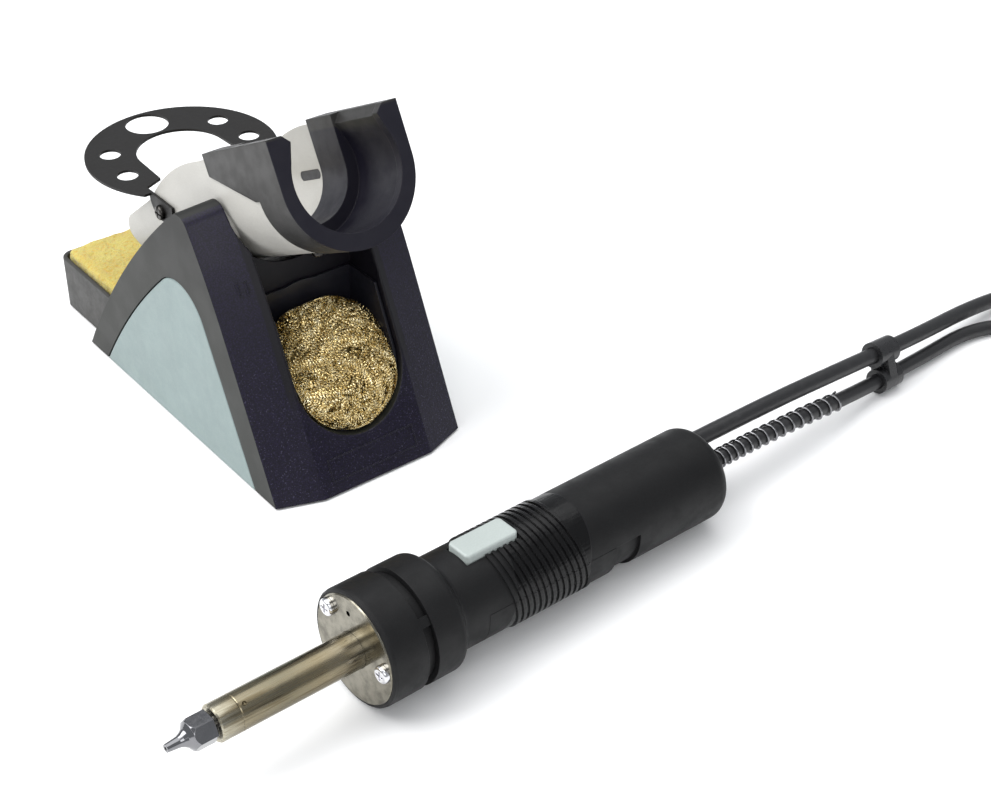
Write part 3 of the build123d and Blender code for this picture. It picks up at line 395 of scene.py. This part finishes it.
def frames_along(points):
    """Even parallel-transport frames along a line."""
    tangents = [(b - a).normalized() for a, b in zip(points, points[1:])]
    tangents.append(tangents[-1])
    side = tangents[0].orthogonal().normalized()
    frames = []
    for p, t in zip(points, tangents):
        side = (side - t * side.dot(t)).normalized()
        frames.append((p, t, side, t.cross(side)))
    return frames


def sample(points, distance):
    """The place and frame at a distance along a line."""
    run = 0.0
    frames = frames_along(points)
    for (p, t, s, u), (q, _, s2, u2) in zip(frames, frames[1:]):
        step = (q - p).length
        if run + step >= distance:
            k = (distance - run) / step
            return p.lerp(q, k), t, s.lerp(s2, k), u.lerp(u2, k)
        run += step
    return frames[-1]


def make_strain_spring(cable):
    line = line_of(cable)
    length, wire, turns, per_turn = 77.0, 0.8, 18, 14
    radius = CABLE / 2 + 0.15 + wire / 2
    points = []
    for k in range(turns * per_turn + 1):
        share = k / (turns * per_turn)
        place = 0.55 * share + 0.45 * share ** 2
        p, _, s, u = sample(line, (0.4 + place * (length - 0.8)) * MM)
        a = 2 * math.pi * k / per_turn
        q = p + (s * math.cos(a) + u * math.sin(a)) * radius * MM
        points.append(q / MM)
    return make_spline("strain_relief_spring", points, wire, 4, 3, 3)


def lin(r, g, b):
    """A screen colour, 0 to 255, as linear light."""
    return tuple(((c / 255 + 0.055) / 1.055) ** 2.4 if c > 10 else c / 255 / 12.92
                 for c in (r, g, b))


# ------------------------------------------------------------------ materials: stand
FRONT_SLOPE = math.radians(65.5)


def stand_material():
    """One moulding: smooth olive-grey sides, and violet-black facets with a grain and painted
    glints; the violet-black of the facets is painted reflection and shade on the same plastic, and
    the recess and the tops of the sides are painted darker as painted shade.
    """
    s = Shader("stand_moulding", lin(52, 53, 49), 0.5, bevel=0.5, Specular_IOR_Level=0.3)
    vec = s.coords()
    # Facing mask: where faces turn to the front, the olive-grey is swapped for a painted
    # violet-black that stands in for reflection and shade.
    normal = s.new("ShaderNodeNewGeometry").outputs["Normal"]
    facing = s.new("ShaderNodeVectorMath")
    facing.operation = "DOT_PRODUCT"
    s.link(normal, facing.inputs[0])
    facing.inputs[1].default_value = (0, -0.93, 0.37)
    front = s.ramp(facing.outputs["Value"], 0.62, 0.74)
    height = s.axis(vec, 2)
    across = s.math("ABSOLUTE", s.axis(vec, 0))
    depth = s.axis(vec, 1)
    # inside: the recess behind the front, painted near-black as painted shade.
    inside = s.math("MULTIPLY", s.ramp(across, 24.4, 25.2, 1.0, 0.0),
                    s.ramp(depth, -58.0, -52.0))
    dark = s.math("MAXIMUM", front, inside)
    outside = s.math("MULTIPLY", front, s.math("SUBTRACT", 1.0, inside))
    grain = s.cells(vec, 0.5, "SMOOTH_F1")
    fine = s.noise(vec, 0.35, 4.0, 0.7)
    side_tone_and_top_shade = s.blend(s.ramp(s.noise(vec, 30.0), 0.35, 0.65), lin(33, 34, 31), lin(38, 39, 36))
    side_tone_and_top_shade = s.blend(s.ramp(fine, 0.35, 0.65, 0.0, 0.08), side_tone_and_top_shade, lin(25, 26, 24))
    # Painted shade: the sides get darker towards the top.
    side_tone_and_top_shade = s.blend(s.ramp(height, 55.0, 88.0, 0.0, 0.75), side_tone_and_top_shade, lin(19, 19, 18))
    front_shade_tone = s.blend(s.ramp(grain, 0.12, 0.6), lin(23, 17, 42), lin(10, 7, 23))
    lower = s.math("MULTIPLY", outside, s.ramp(height, 30.0, 66.0, 1.0, 0.15))
    # Painted glints: pale sparkles over the lower half of the front facets.
    glint = s.math("MULTIPLY", s.ramp(s.noise(vec, 0.55, 2.0, 0.6), 0.6, 0.7), lower)
    front_shade_tone = s.blend(s.math("MULTIPLY", glint, 0.5), front_shade_tone, lin(84, 80, 104))
    # Painted shade in the recess.
    front_shade_tone = s.blend(inside, front_shade_tone, lin(12, 10, 18))
    s.color(s.blend(dark, side_tone_and_top_shade, front_shade_tone))
    matte = s.ramp(s.noise(vec, 14.0), 0.35, 0.65, 0.47, 0.53)
    polish = s.math("MULTIPLY", outside, s.ramp(height, 60.0, 92.0, 0.06, 0.14))
    s.rough(s.math("SUBTRACT", matte, polish))
    s.bump(s.math("MULTIPLY", grain, lower), 0.07, 0.9)
    s.bump(fine, 0.010)
    return s


def panel_material():
    return moulded("panel_turquoise_satin", lin(129, 144, 143), 0.5, 0.4, 0.010, wear=0.03,
                   bevel=0.3)


def collar_material():
    """Matte grey outside and on the horns; inside the seat and on its front face the same moulding
    is painted near-black as painted shade.
    """
    s = Shader("collar_dark_grey", lin(50, 50, 49), 0.46, bevel=0.5, Specular_IOR_Level=0.35)
    vec = s.coords(HOLDER)
    across, up, along = (s.axis(vec, i) for i in range(3))
    square = s.math("ADD", s.math("MULTIPLY", across, across), s.math("MULTIPLY", up, up))
    radius = s.math("SQRT", square)
    # bowl and face mark where the grey is swapped for painted near-black shade.
    bowl = s.math("MULTIPLY", s.ramp(radius, 21.6, 22.2, 1.0, 0.0),
                  s.ramp(up, 13.2, 14.4, 1.0, 0.0))
    face = s.math("MULTIPLY", s.ramp(along, 51.3, 51.6), s.ramp(up, 17.0, 18.0, 1.0, 0.0))
    dark = s.math("MAXIMUM", bowl, face)
    fine = s.noise(vec, 0.4, 4.0, 0.7)
    tone = s.blend(s.ramp(fine, 0.35, 0.65, 0.0, 0.3), lin(41, 40, 39), lin(31, 30, 29))
    s.color(s.blend(dark, tone, lin(16, 14, 26)))
    s.rough(s.ramp(s.noise(vec, 6.0, 4.0), 0.3, 0.7, 0.36, 0.5))
    s.bump(fine, 0.03)
    return s


def rack_material():
    s = Shader("rack_black_plate", lin(34, 32, 31), 0.5, bevel=0.2, Specular_IOR_Level=0.35,
               Coat_Weight=0.04, Coat_Roughness=0.4)
    vec = s.coords()
    orange_peel = s.noise(vec, 1.4, 3.0, 0.5)
    dust = s.noise(vec, 0.25, 4.0, 0.8)
    s.color(s.blend(s.ramp(dust, 0.55, 0.75, 0.0, 0.35), lin(15, 13, 12), lin(34, 31, 28)))
    s.rough(s.ramp(s.noise(vec, 8.0, 4.0), 0.3, 0.7, 0.46, 0.62))
    s.bump(orange_peel, 0.02)
    return s


def sponge_material():
    s = Shader("sponge_cells", lin(226, 196, 96), 0.95, Sheen_Weight=0.25, Subsurface_Weight=0.12,
               Subsurface_Radius=(0.002, 0.0012, 0.0006), Subsurface_Scale=1.0)
    vec = s.coords()
    pores = s.cells(vec, 1.15, "SMOOTH_F1")
    small = s.cells(vec, 0.42, "F1")
    stain = s.noise(vec, 14.0, 4.0, 0.65)
    tone = s.blend(s.ramp(stain, 0.35, 0.7), lin(190, 176, 92), lin(180, 158, 76))
    # Painted shade: the pits of the pores and small cells, which the bump sinks, are painted
    # darker.
    tone = s.blend(s.ramp(pores, 0.12, 0.42, 0.75, 0.0), tone, lin(190, 150, 52))
    s.color(s.blend(s.ramp(small, 0.1, 0.4, 0.4, 0.0), tone, lin(140, 104, 36)))
    s.bump(s.math("ADD", pores, s.math("MULTIPLY", small, 0.5)), 0.45)
    return s


def wool_material():
    s = Shader("brass_shavings", (0.95, 0.80, 0.42), 0.18, 1.0)
    vec = s.coords()
    tone = s.noise(vec, 2.2, 3.0, 0.6)
    s.color(s.stops(tone, [(0.25, (0.46, 0.33, 0.11)), (0.5, (0.80, 0.65, 0.33)),
                           (0.75, (1.0, 0.93, 0.68))]))
    s.rough(s.ramp(s.noise(vec, 0.5, 4.0), 0.3, 0.7, 0.14, 0.34))
    s.bump(s.noise(vec, 0.2, 3.0), 0.02)
    return s


# ------------------------------------------------------------------ materials: iron
def handle_material():
    """Black moulding with a fine matte texture, smoother on the ribs."""
    s = Shader("handle_black_moulding", lin(18, 18, 19), 0.5, bevel=0.25, Specular_IOR_Level=0.22)
    vec = s.coords(IRON)
    station = s.axis(vec, 2)
    leaned = s.math("SUBTRACT", station, s.math("MULTIPLY", s.axis(vec, 1), 0.231))
    ribbed = s.math("MULTIPLY", s.ramp(leaned, 49.4, 49.9), s.ramp(leaned, 80.2, 80.7, 1.0, 0.0))
    fine = s.noise(vec, 0.35, 4.0, 0.7)
    scuff = s.noise(s.coords(IRON, (1, 1, 0.12)), 2.5, 5.0, 0.75)
    tone = s.blend(s.ramp(fine, 0.35, 0.7), lin(13, 13, 14), lin(21, 21, 22))
    tone = s.blend(s.ramp(scuff, 0.6, 0.8, 0.0, 0.35), tone, lin(34, 34, 34))
    s.color(s.blend(ribbed, tone, lin(9, 9, 10)))
    matte = s.ramp(s.noise(vec, 7.0, 4.0), 0.3, 0.7, 0.44, 0.6)
    s.rough(s.math("SUBTRACT", matte, s.math("MULTIPLY", ribbed, 0.3)))
    beads = s.cells(s.coords(IRON, (1, 1, 0.2)), 1.1, "SMOOTH_F1")
    s.bump(s.math("MULTIPLY", beads, ribbed), 0.12, 0.7)
    s.bump(fine, 0.025)
    return s


def barrel_material():
    """Drawn stainless tube, straw and olive where heat has tinted it."""
    s = Shader("heat_tinted_barrel", (0.5, 0.44, 0.3), 0.25, 1.0, bevel=0.1)
    vec = s.coords(IRON)
    station = s.axis(vec, 2)
    drawn = s.noise(s.coords(IRON, (1, 1, 0.03)), 0.35, 4.0, 0.7)
    wobble = s.math("MULTIPLY", s.math("SUBTRACT", s.noise(vec, 7.0, 3.0), 0.5), 9.0)
    place = s.ramp(s.math("ADD", station, wobble), -50.0, 0.0, smooth=False)
    tint = s.stops(place, [(0.0, (0.44, 0.42, 0.34)), (0.14, (0.24, 0.215, 0.155)),
                           (0.45, (0.17, 0.155, 0.11)), (0.72, (0.22, 0.19, 0.125)),
                           (0.9, (0.28, 0.25, 0.185)), (1.0, (0.36, 0.34, 0.29))])
    streak = s.noise(s.coords(IRON, (1, 1, 0.05)), 1.3, 3.0, 0.6)
    tint = s.blend(s.ramp(streak, 0.5, 0.66, 0.0, 0.7), tint, (0.075, 0.06, 0.035))
    s.color(s.blend(s.ramp(drawn, 0.35, 0.65, 0.0, 0.5), tint, (0.20, 0.16, 0.09)))
    s.rough(s.ramp(drawn, 0.3, 0.7, 0.17, 0.36))
    s.bump(drawn, 0.006)
    return s


def plate_material():
    s = Shader("nose_plate_nickel", (0.56, 0.51, 0.38), 0.2, 1.0, bevel=0.2)
    vec = s.coords(IRON)
    scratch = s.noise(s.coords(IRON, (1.0, 0.08, 1.0)), 0.5, 5.0, 0.8)
    cloud = s.noise(vec, 5.0, 4.0, 0.6)
    s.color(s.blend(s.ramp(cloud, 0.35, 0.7), (0.26, 0.245, 0.20), (0.13, 0.12, 0.095)))
    worn = s.ramp(scratch, 0.55, 0.8, 0.0, 0.12)
    s.rough(s.math("ADD", s.ramp(cloud, 0.3, 0.7, 0.1, 0.26), worn))
    s.bump(scratch, 0.003)
    return s


def rubber(name, color=(0.012, 0.012, 0.013), rough=0.38, grain=0.5, matrix=None):
    s = Shader(name, color, rough, bevel=0.25)
    vec = s.coords(matrix)
    fine = s.noise(vec, grain, 4.0, 0.7)
    dust = s.noise(vec, 3.0, 5.0, 0.8)
    s.color(s.blend(s.ramp(dust, 0.5, 0.75, 0.0, 0.5), color, tuple(c * 2.6 for c in color)))
    s.rough(s.ramp(dust, 0.3, 0.7, rough - 0.08, rough + 0.14))
    s.bump(fine, 0.02)
    return s


# ------------------------------------------------------------------ pieces: brass wool
WOOL_LOW, WOOL_BEND, WOOL_TOP = (-62.6, 17.2), (-57.5, 39.5), (-30.5, 54.0)
WOOL_RADIUS = 20.7
POCKET_Z = 37.5
TOP_ROUND = 15.0
TOP_TAPER = 0.72


def wool_profile(count=60):
    """The bulging middle line of the wool's face: places, outward normals and running length."""
    a, b, c = (Vector((0, *q)) for q in (WOOL_LOW, WOOL_BEND, WOOL_TOP))
    rows, run, last = [], 0.0, None
    for k in range(count + 1):
        t = k / count
        place = a * (1 - t) ** 2 + b * 2 * t * (1 - t) + c * t * t
        along = ((b - a) * (1 - t) + (c - b) * t).normalized()
        run += (place - last).length if last else 0.0
        rows.append((run, place, Vector((0, -along.z, along.y))))
        last = place
    return rows


WOOL_ROWS = wool_profile()
WOOL_LENGTH = WOOL_ROWS[-1][0]


def wool_row(s):
    """The middle line's place and normal at a running length."""
    share = min(max(s / WOOL_LENGTH, 0.0), 1.0) * (len(WOOL_ROWS) - 1)
    k = min(int(share), len(WOOL_ROWS) - 2)
    (_, p, n), (_, q, m) = WOOL_ROWS[k], WOOL_ROWS[k + 1]
    return p.lerp(q, share - k), n.lerp(m, share - k)


def wool_half(s):
    """Half the wool's width at a running length: round-bottomed like the cup, with a round top."""
    z = wool_row(s)[0].z
    over = min(max(0.0, s - WOOL_LENGTH + TOP_ROUND) / TOP_ROUND, 1.0)
    half = math.sqrt(max(WOOL_RADIUS ** 2 - min(0.0, z - POCKET_Z) ** 2, 4.0))
    return half * math.sqrt(1 - TOP_TAPER * over ** 2)


def wool_place(x, s, h):
    """A place over the wool's bulging face: across, up along it, and out of it, in millimetres."""
    place, normal = wool_row(s)
    edge = min(abs(x) / wool_half(s), 1.0)
    ends = abs(2 * s / WOOL_LENGTH - 1)
    sink = 3.4 * edge ** 4 + 2.4 * ends ** 6
    return place + Vector((x, 0, 0)) + normal * (h - sink)


CORE_DEPTHS = (1.9, 9.0)  # of its front and back under the wool's face


def make_wool_core():
    """A dark filling behind the curls: painted shade standing in for the shaded wool further in."""
    rows, columns = 40, 32
    verts, faces = [], []
    for depth in CORE_DEPTHS:
        for i in range(rows + 1):
            s = WOOL_LENGTH * i / rows
            half = wool_half(s) - 0.5
            for j in range(columns + 1):
                x = half * (2 * j / columns - 1)
                lump = noise.noise(Vector((x, s, depth)) * 0.4) if depth < 5 else 0.0
                verts.append(wool_place(x, s, lump - depth) * MM)
    layer = (rows + 1) * (columns + 1)

    def at(level, i, j):
        return level * layer + i * (columns + 1) + j

    for i in range(rows):
        for j in range(columns):
            faces.append((at(0, i, j), at(0, i, j + 1), at(0, i + 1, j + 1), at(0, i + 1, j)))
            faces.append((at(1, i, j), at(1, i + 1, j), at(1, i + 1, j + 1), at(1, i, j + 1)))
    for i in range(rows):
        faces.append((at(0, i, 0), at(0, i + 1, 0), at(1, i + 1, 0), at(1, i, 0)))
        faces.append((at(0, i, columns), at(1, i, columns),
                      at(1, i + 1, columns), at(0, i + 1, columns)))
    for j in range(columns):
        faces.append((at(0, 0, j), at(1, 0, j), at(1, 0, j + 1), at(0, 0, j + 1)))
        faces.append((at(0, rows, j), at(0, rows, j + 1), at(1, rows, j + 1), at(1, rows, j)))
    return make_object("brass_wool_core", verts, faces)


def make_wool_strands(count=1080):
    """Fine wires curled like beads, lying in swirls over the wool's bulging face."""
    verts, faces = [], []
    per_turn = 7
    for _ in range(count):
        s = random.uniform(0.5, WOOL_LENGTH - 0.5)
        x = random.uniform(-1, 1) * wool_half(s)
        swirl = random.choice((0.0, 2.0, 4.0))
        offset = random.uniform(-0.35, 0.35)
        depth = random.uniform(-2.2, 0.7)
        curl = random.uniform(0.36, 0.62)
        pitch = random.uniform(0.95, 1.4)
        width, ridge = random.uniform(0.13, 0.22), 0.12
        steps = int(random.uniform(8.0, 26.0) / pitch * per_turn)
        run = pitch / per_turn
        phase = random.uniform(0, 2 * math.pi)
        base = len(verts)
        for k in range(steps + 1):
            heading = 3.6 * noise.noise(Vector((x / 17, s / 17, swirl))) + swirl + offset
            x += math.cos(heading) * run
            s += math.sin(heading) * run
            s = min(max(s, 0.6), WOOL_LENGTH - 0.6)
            limit = wool_half(s) - 0.7
            x = min(max(x, -limit), limit)
            turn = phase + 2 * math.pi * k / per_turn
            c, d = math.cos(turn), math.sin(turn)
            along = (math.cos(heading), math.sin(heading))
            side = (-along[1], along[0])
            for w, r in ((-width, curl), (width, curl), (0.0, curl + ridge)):
                qx = x + side[0] * c * r + along[0] * w
                qs = s + side[1] * c * r + along[1] * w
                verts.append(wool_place(qx, qs, depth + d * r) * MM)
        for k in range(steps):
            q = base + 3 * k
            for i in range(3):
                j = (i + 1) % 3
                faces.append((q + i, q + j, q + 3 + j, q + 3 + i))
        faces.append((base + 2, base + 1, base))
        e = base + 3 * steps
        faces.append((e, e + 1, e + 2))
    return make_object("brass_wool_curls", verts, faces, smooth=False)


# ------------------------------------------------------------------ pieces: sponge
def make_sponge():
    """Open-celled block: rounded, slightly crowned, with torn cells over its top and rim."""
    low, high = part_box("sponge")
    lo = Vector(low) / MM
    hi = Vector(high) / MM
    centre = (lo + hi) / 2
    half = (hi - lo) / 2 - Vector((0.15, 0.15, 0.0))
    half.z -= 0.35
    mesh = bmesh.new()
    pitch = 0.8
    index = {}

    def vertex(p):
        key = tuple(round(c, 4) for c in p)
        if key not in index:
            index[key] = mesh.verts.new(p)
        return index[key]

    def grid(axis, sign):
        u, v = [i for i in range(3) if i != axis]
        nu = max(1, round(2 * half[u] / pitch))
        nv = max(1, round(2 * half[v] / pitch))
        for i in range(nu):
            for j in range(nv):
                corners = []
                for di, dj in ((0, 0), (1, 0), (1, 1), (0, 1)):
                    p = [0.0, 0.0, 0.0]
                    p[axis] = sign * half[axis]
                    p[u] = -half[u] + 2 * half[u] * (i + di) / nu
                    p[v] = -half[v] + 2 * half[v] * (j + dj) / nv
                    corners.append(vertex(p))
                mesh.faces.new(corners)

    for axis in range(3):
        for sign in (-1, 1):
            grid(axis, sign)
    round_off = 2.2
    for vert in mesh.verts:
        p = vert.co.copy()
        inner = Vector([max(-h + round_off, min(h - round_off, c)) for c, h in zip(p, half)])
        out = p - inner
        normal = out.normalized() if out.length > 1e-6 else Vector((0, 0, 1))
        if out.length > 1e-6:
            p = inner + normal * min(out.length, round_off)
        place = p + centre
        crown = 0.5 * (1 - (p.x / half.x) ** 2) * (1 - (p.y / half.y) ** 2)
        crown = crown if normal.z > 0.5 else 0.0
        cell = noise.voronoi(place / 1.7 + noise.noise_vector(place / 2.5) * 0.6)[0][0]
        fine = noise.voronoi(place / 0.95 + Vector((5, 3, 1)))[0][0]
        pit = -0.85 * max(0.0, 1 - cell / 0.42) - 0.28 * max(0.0, 1 - fine / 0.4)
        swell = 0.55 * noise.noise(place / 9.0) + 0.25 * noise.noise(place / 3.0)
        if normal.z < -0.5:
            pit = swell = 0.0
        vert.co = (place + normal * (pit + min(0.3, swell)) + Vector((0, 0, crown))) * MM
    bmesh.ops.recalc_face_normals(mesh, faces=mesh.faces)
    data = bpy.data.meshes.new("cleaning_sponge")
    mesh.to_mesh(data)
    mesh.free()
    data.polygons.foreach_set("use_smooth", [True] * len(data.polygons))
    obj = bpy.data.objects.new("cleaning_sponge", data)
    bpy.context.scene.collection.objects.link(obj)
    return obj


# ------------------------------------------------------------------ pieces: small raised details
def slab_on(name, origin, u, v, n, outline, height, taper=0.08):
    """A low raised shape on a plane: an outline in millimetres, with sloping edges."""
    verts, faces = [], []
    centre = Vector([sum(p[i] for p in outline) / len(outline) for i in range(2)])
    for level, shrink in ((-0.3, 0.0), (height - taper, 0.0), (height, taper)):
        for p in outline:
            d = Vector(p) - centre
            d = d * (1 - shrink / max(d.length, 0.1))
            q = centre + d
            verts.append((origin + u * q.x + v * q.y + n * level) * MM)
    count = len(outline)
    for layer in range(2):
        for k in range(count):
            j = (k + 1) % count
            a = layer * count
            faces.append((a + k, a + j, a + count + j, a + count + k))
    faces.append(tuple(range(count))[::-1])
    faces.append(tuple(range(2 * count, 3 * count)))
    return make_object(name, verts, faces, smooth=False)


def bar(x0, y0, x1, y1, width):
    """The outline of a straight bar between two points."""
    d = (Vector((x1, y1)) - Vector((x0, y0))).normalized() * width / 2
    s = Vector((-d.y, d.x))
    a, b = Vector((x0, y0)), Vector((x1, y1))
    return [tuple(a + s), tuple(a - s), tuple(b - s), tuple(b + s)]


def join(name, objects):
    bpy.ops.object.select_all(action="DESELECT")
    for obj in objects:
        obj.select_set(True)
    bpy.context.view_layer.objects.active = objects[0]
    bpy.ops.object.join()
    objects[0].name = name
    return objects[0]


def make_front_details():
    origin = Vector((0, -70.0, 0.8))
    v = Vector((0, math.cos(FRONT_SLOPE), math.sin(FRONT_SLOPE)))
    n = Vector((0, -math.sin(FRONT_SLOPE), math.cos(FRONT_SLOPE)))
    u = Vector((1, 0, 0))
    x0, x1, y0, y1, w = -17.6, 17.6, 4.6, 12.4, 0.55
    edges = [(x0, y0, x1, y0), (x0, y1, x1, y1),
             (x0, y0 - w / 2, x0, y1 + w / 2), (x1, y0 - w / 2, x1, y1 + w / 2)]
    frame_bars = [slab_on("bar", origin, u, v, n, bar(*e, w), 0.22) for e in edges]
    label = join("label_field_rim", frame_bars)
    sweep = math.radians(20)
    u2 = Vector((-math.cos(sweep), math.sin(sweep), 0))
    n2 = u2.cross(v) * -1
    n2 = n2 if n2.y < 0 else -n2
    n2.normalize()
    start = Vector((-22.4, -70.0, 0.8))
    marks = []
    for k in range(2):
        x = 5.0 + 3.0 * k
        marks.append(slab_on("mark", start, u2, v, n2, bar(x, 75.0, x, 79.5, 0.8), 0.35))
    return label, join("cheek_marks", marks)


# ------------------------------------------------------------------ scene
def light_scene(floor):
    add_camera()
    world = bpy.data.worlds.new("studio")
    bpy.context.scene.world = world
    world.use_nodes = True
    world.node_tree.nodes["Background"].inputs["Color"].default_value = (0.93, 0.96, 1.0, 1)
    world.node_tree.nodes["Background"].inputs["Strength"].default_value = 0.5
    target = (0.02, -0.06, 0.03)
    add_area("key_left", (-0.75, 0.35, 0.95), target, (0.9, 0.9), 14)
    add_area("top_soft", (0.1, 0.1, 1.25), target, (1.6, 1.6), 14)
    add_area("front_fill", (-0.55, -0.95, 0.75), target, (0.8, 0.6), 4)
    s = Shader("studio_floor", (0.93, 0.93, 0.93), 0.75)
    vec = s.coords()
    s.rough(s.ramp(s.noise(vec, 60.0), 0.3, 0.7, 0.7, 0.8))
    floor.data.materials.append(s.mat)
    bpy.context.scene.view_settings.view_transform = "Standard"


floor = add_stage()
light_scene(floor)
hose, cable = make_cords()
spring = make_strain_spring(cable)
wool_core = make_wool_core()
wool_curls = make_wool_strands()
sponge = make_sponge()
label_rim, cheek_marks = make_front_details()

for piece, body, slot_name, replaced in (
    (hose, "iron", "cord_black", ("hose_tube", "hose_coil", "hose_tail")),
    (cable, "iron", "cord_black", ("cable_tube", "cable_coil", "cable_tail")),
    (spring, "iron", "spring_steel", ("strain_spring",)),
    (wool_core, "wool", "brass_wool", ()),
    (wool_curls, "wool", "brass_wool", ("brass_wool",)),
    (sponge, "tray", "sponge_yellow", ("sponge",)),
    (label_rim, "stand", "stand_grey", ()),
    (cheek_marks, "stand", "stand_grey", ()),
):
    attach(piece, body)
    if replaced:
        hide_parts(*replaced)

# ------------------------------------------------------------------ finishes
assign(stand_material(), "base_shell", "label_field_rim", "cheek_marks")
assign(panel_material(), "side_panel_left", "side_panel_right")
cradle = moulded("cradle_warm_white", lin(182, 180, 174), 0.4, 0.5, 0.02, HOLDER, wear=0.03,
                 bevel=0.4)
assign(cradle, "holder_cradle")
assign(collar_material(), "holder_collar")
assign(moulded("tray_dark_grey", lin(44, 43, 41), 0.5, 0.45, 0.03, bevel=0.3), "sponge_tray")
assign(rack_material(), "nozzle_rack")
assign(metal("dark_screw_steel", lin(70, 68, 66), 0.28, matrix=HOLDER),
       "rack_screws", "collar_screw")
assign(metal("polished_screw_steel", (0.72, 0.72, 0.74), 0.14), "base_screws", "plug_nut")
assign(metal("polished_iron_steel", (0.74, 0.74, 0.76), 0.12, matrix=IRON), "plate_screws")
assign(metal("nozzle_chrome", (0.22, 0.22, 0.23), 0.12, matrix=IRON), "nozzle")
assign(metal("sheet_steel", (0.5, 0.5, 0.5), 0.3, stretch=(1, 0.05, 1)), "base_plate")
assign(metal("rough_cast_weight", (0.2, 0.2, 0.2), 0.6, depth=0.1), "ballast_block")
assign(metal("turned_brass", (0.8, 0.6, 0.3), 0.25),
       "pivot_bushes", "hose_nipple", "plug_pins", "hose_fitting")
assign(metal("inner_steel_tube", (0.6, 0.6, 0.6), 0.25, matrix=IRON),
       "suction_tube", "button_spring")
assign(metal("strain_spring_wire", (0.26, 0.26, 0.27), 0.22, bevel=0.0), "strain_relief_spring")
assign(moulded("cup_black_enamel", lin(26, 26, 34), 0.4, 0.8, 0.03), "wool_cup")
assign(wool_material(), "brass_wool_curls")
# A dark brass sheet behind the curls as painted shade.
core = metal("brass_wool_painted_shade", (0.17, 0.13, 0.05), 0.5, grain=0.8, depth=0.5, bevel=0.0)
assign(core, "brass_wool_core")
assign(sponge_material(), "cleaning_sponge")
assign(handle_material(), "handle_shell", "collector_cover", "nose_ring")
assign(barrel_material(), "heater_barrel")
assign(plate_material(), "nose_plate")
button = moulded("button_pale_turquoise", lin(168, 176, 173), 0.36, 0.5, 0.01, IRON, wear=0.03,
                 bevel=0.3)
assign(button, "trigger_button")
assign(rubber("cord_black_rubber"), "vacuum_hose", "power_cable")
assign(rubber("clip_black_rubber", rough=0.3), "cable_clip", "handle_glands", "rubber_feet")
assign(moulded("plug_black", lin(30, 30, 31), 0.45), "plug_body")
assign(moulded("inner_dark_plastic", lin(50, 50, 54), 0.5),
       "friction_washers", "microswitch", "slot_inserts")
assign(moulded("fired_ceramic", lin(225, 218, 200), 0.6), "heating_element")
assign(moulded("board_green", lin(30, 84, 52), 0.4), "switch_board", "terminal_board")
assign(moulded("seal_red_rubber", lin(170, 70, 45), 0.55), "collector_seals", "inner_hose")
assign(moulded("filter_white_felt", lin(226, 224, 216), 0.9, 0.6, 0.1), "collector_filter")
glass = moulded("collector_clear_glass", (0.92, 0.93, 0.9), 0.06, 2.0, 0.002,
                Transmission_Weight=0.9, IOR=1.5)
assign(glass, "solder_collector")

bpy.context.view_layer.update()
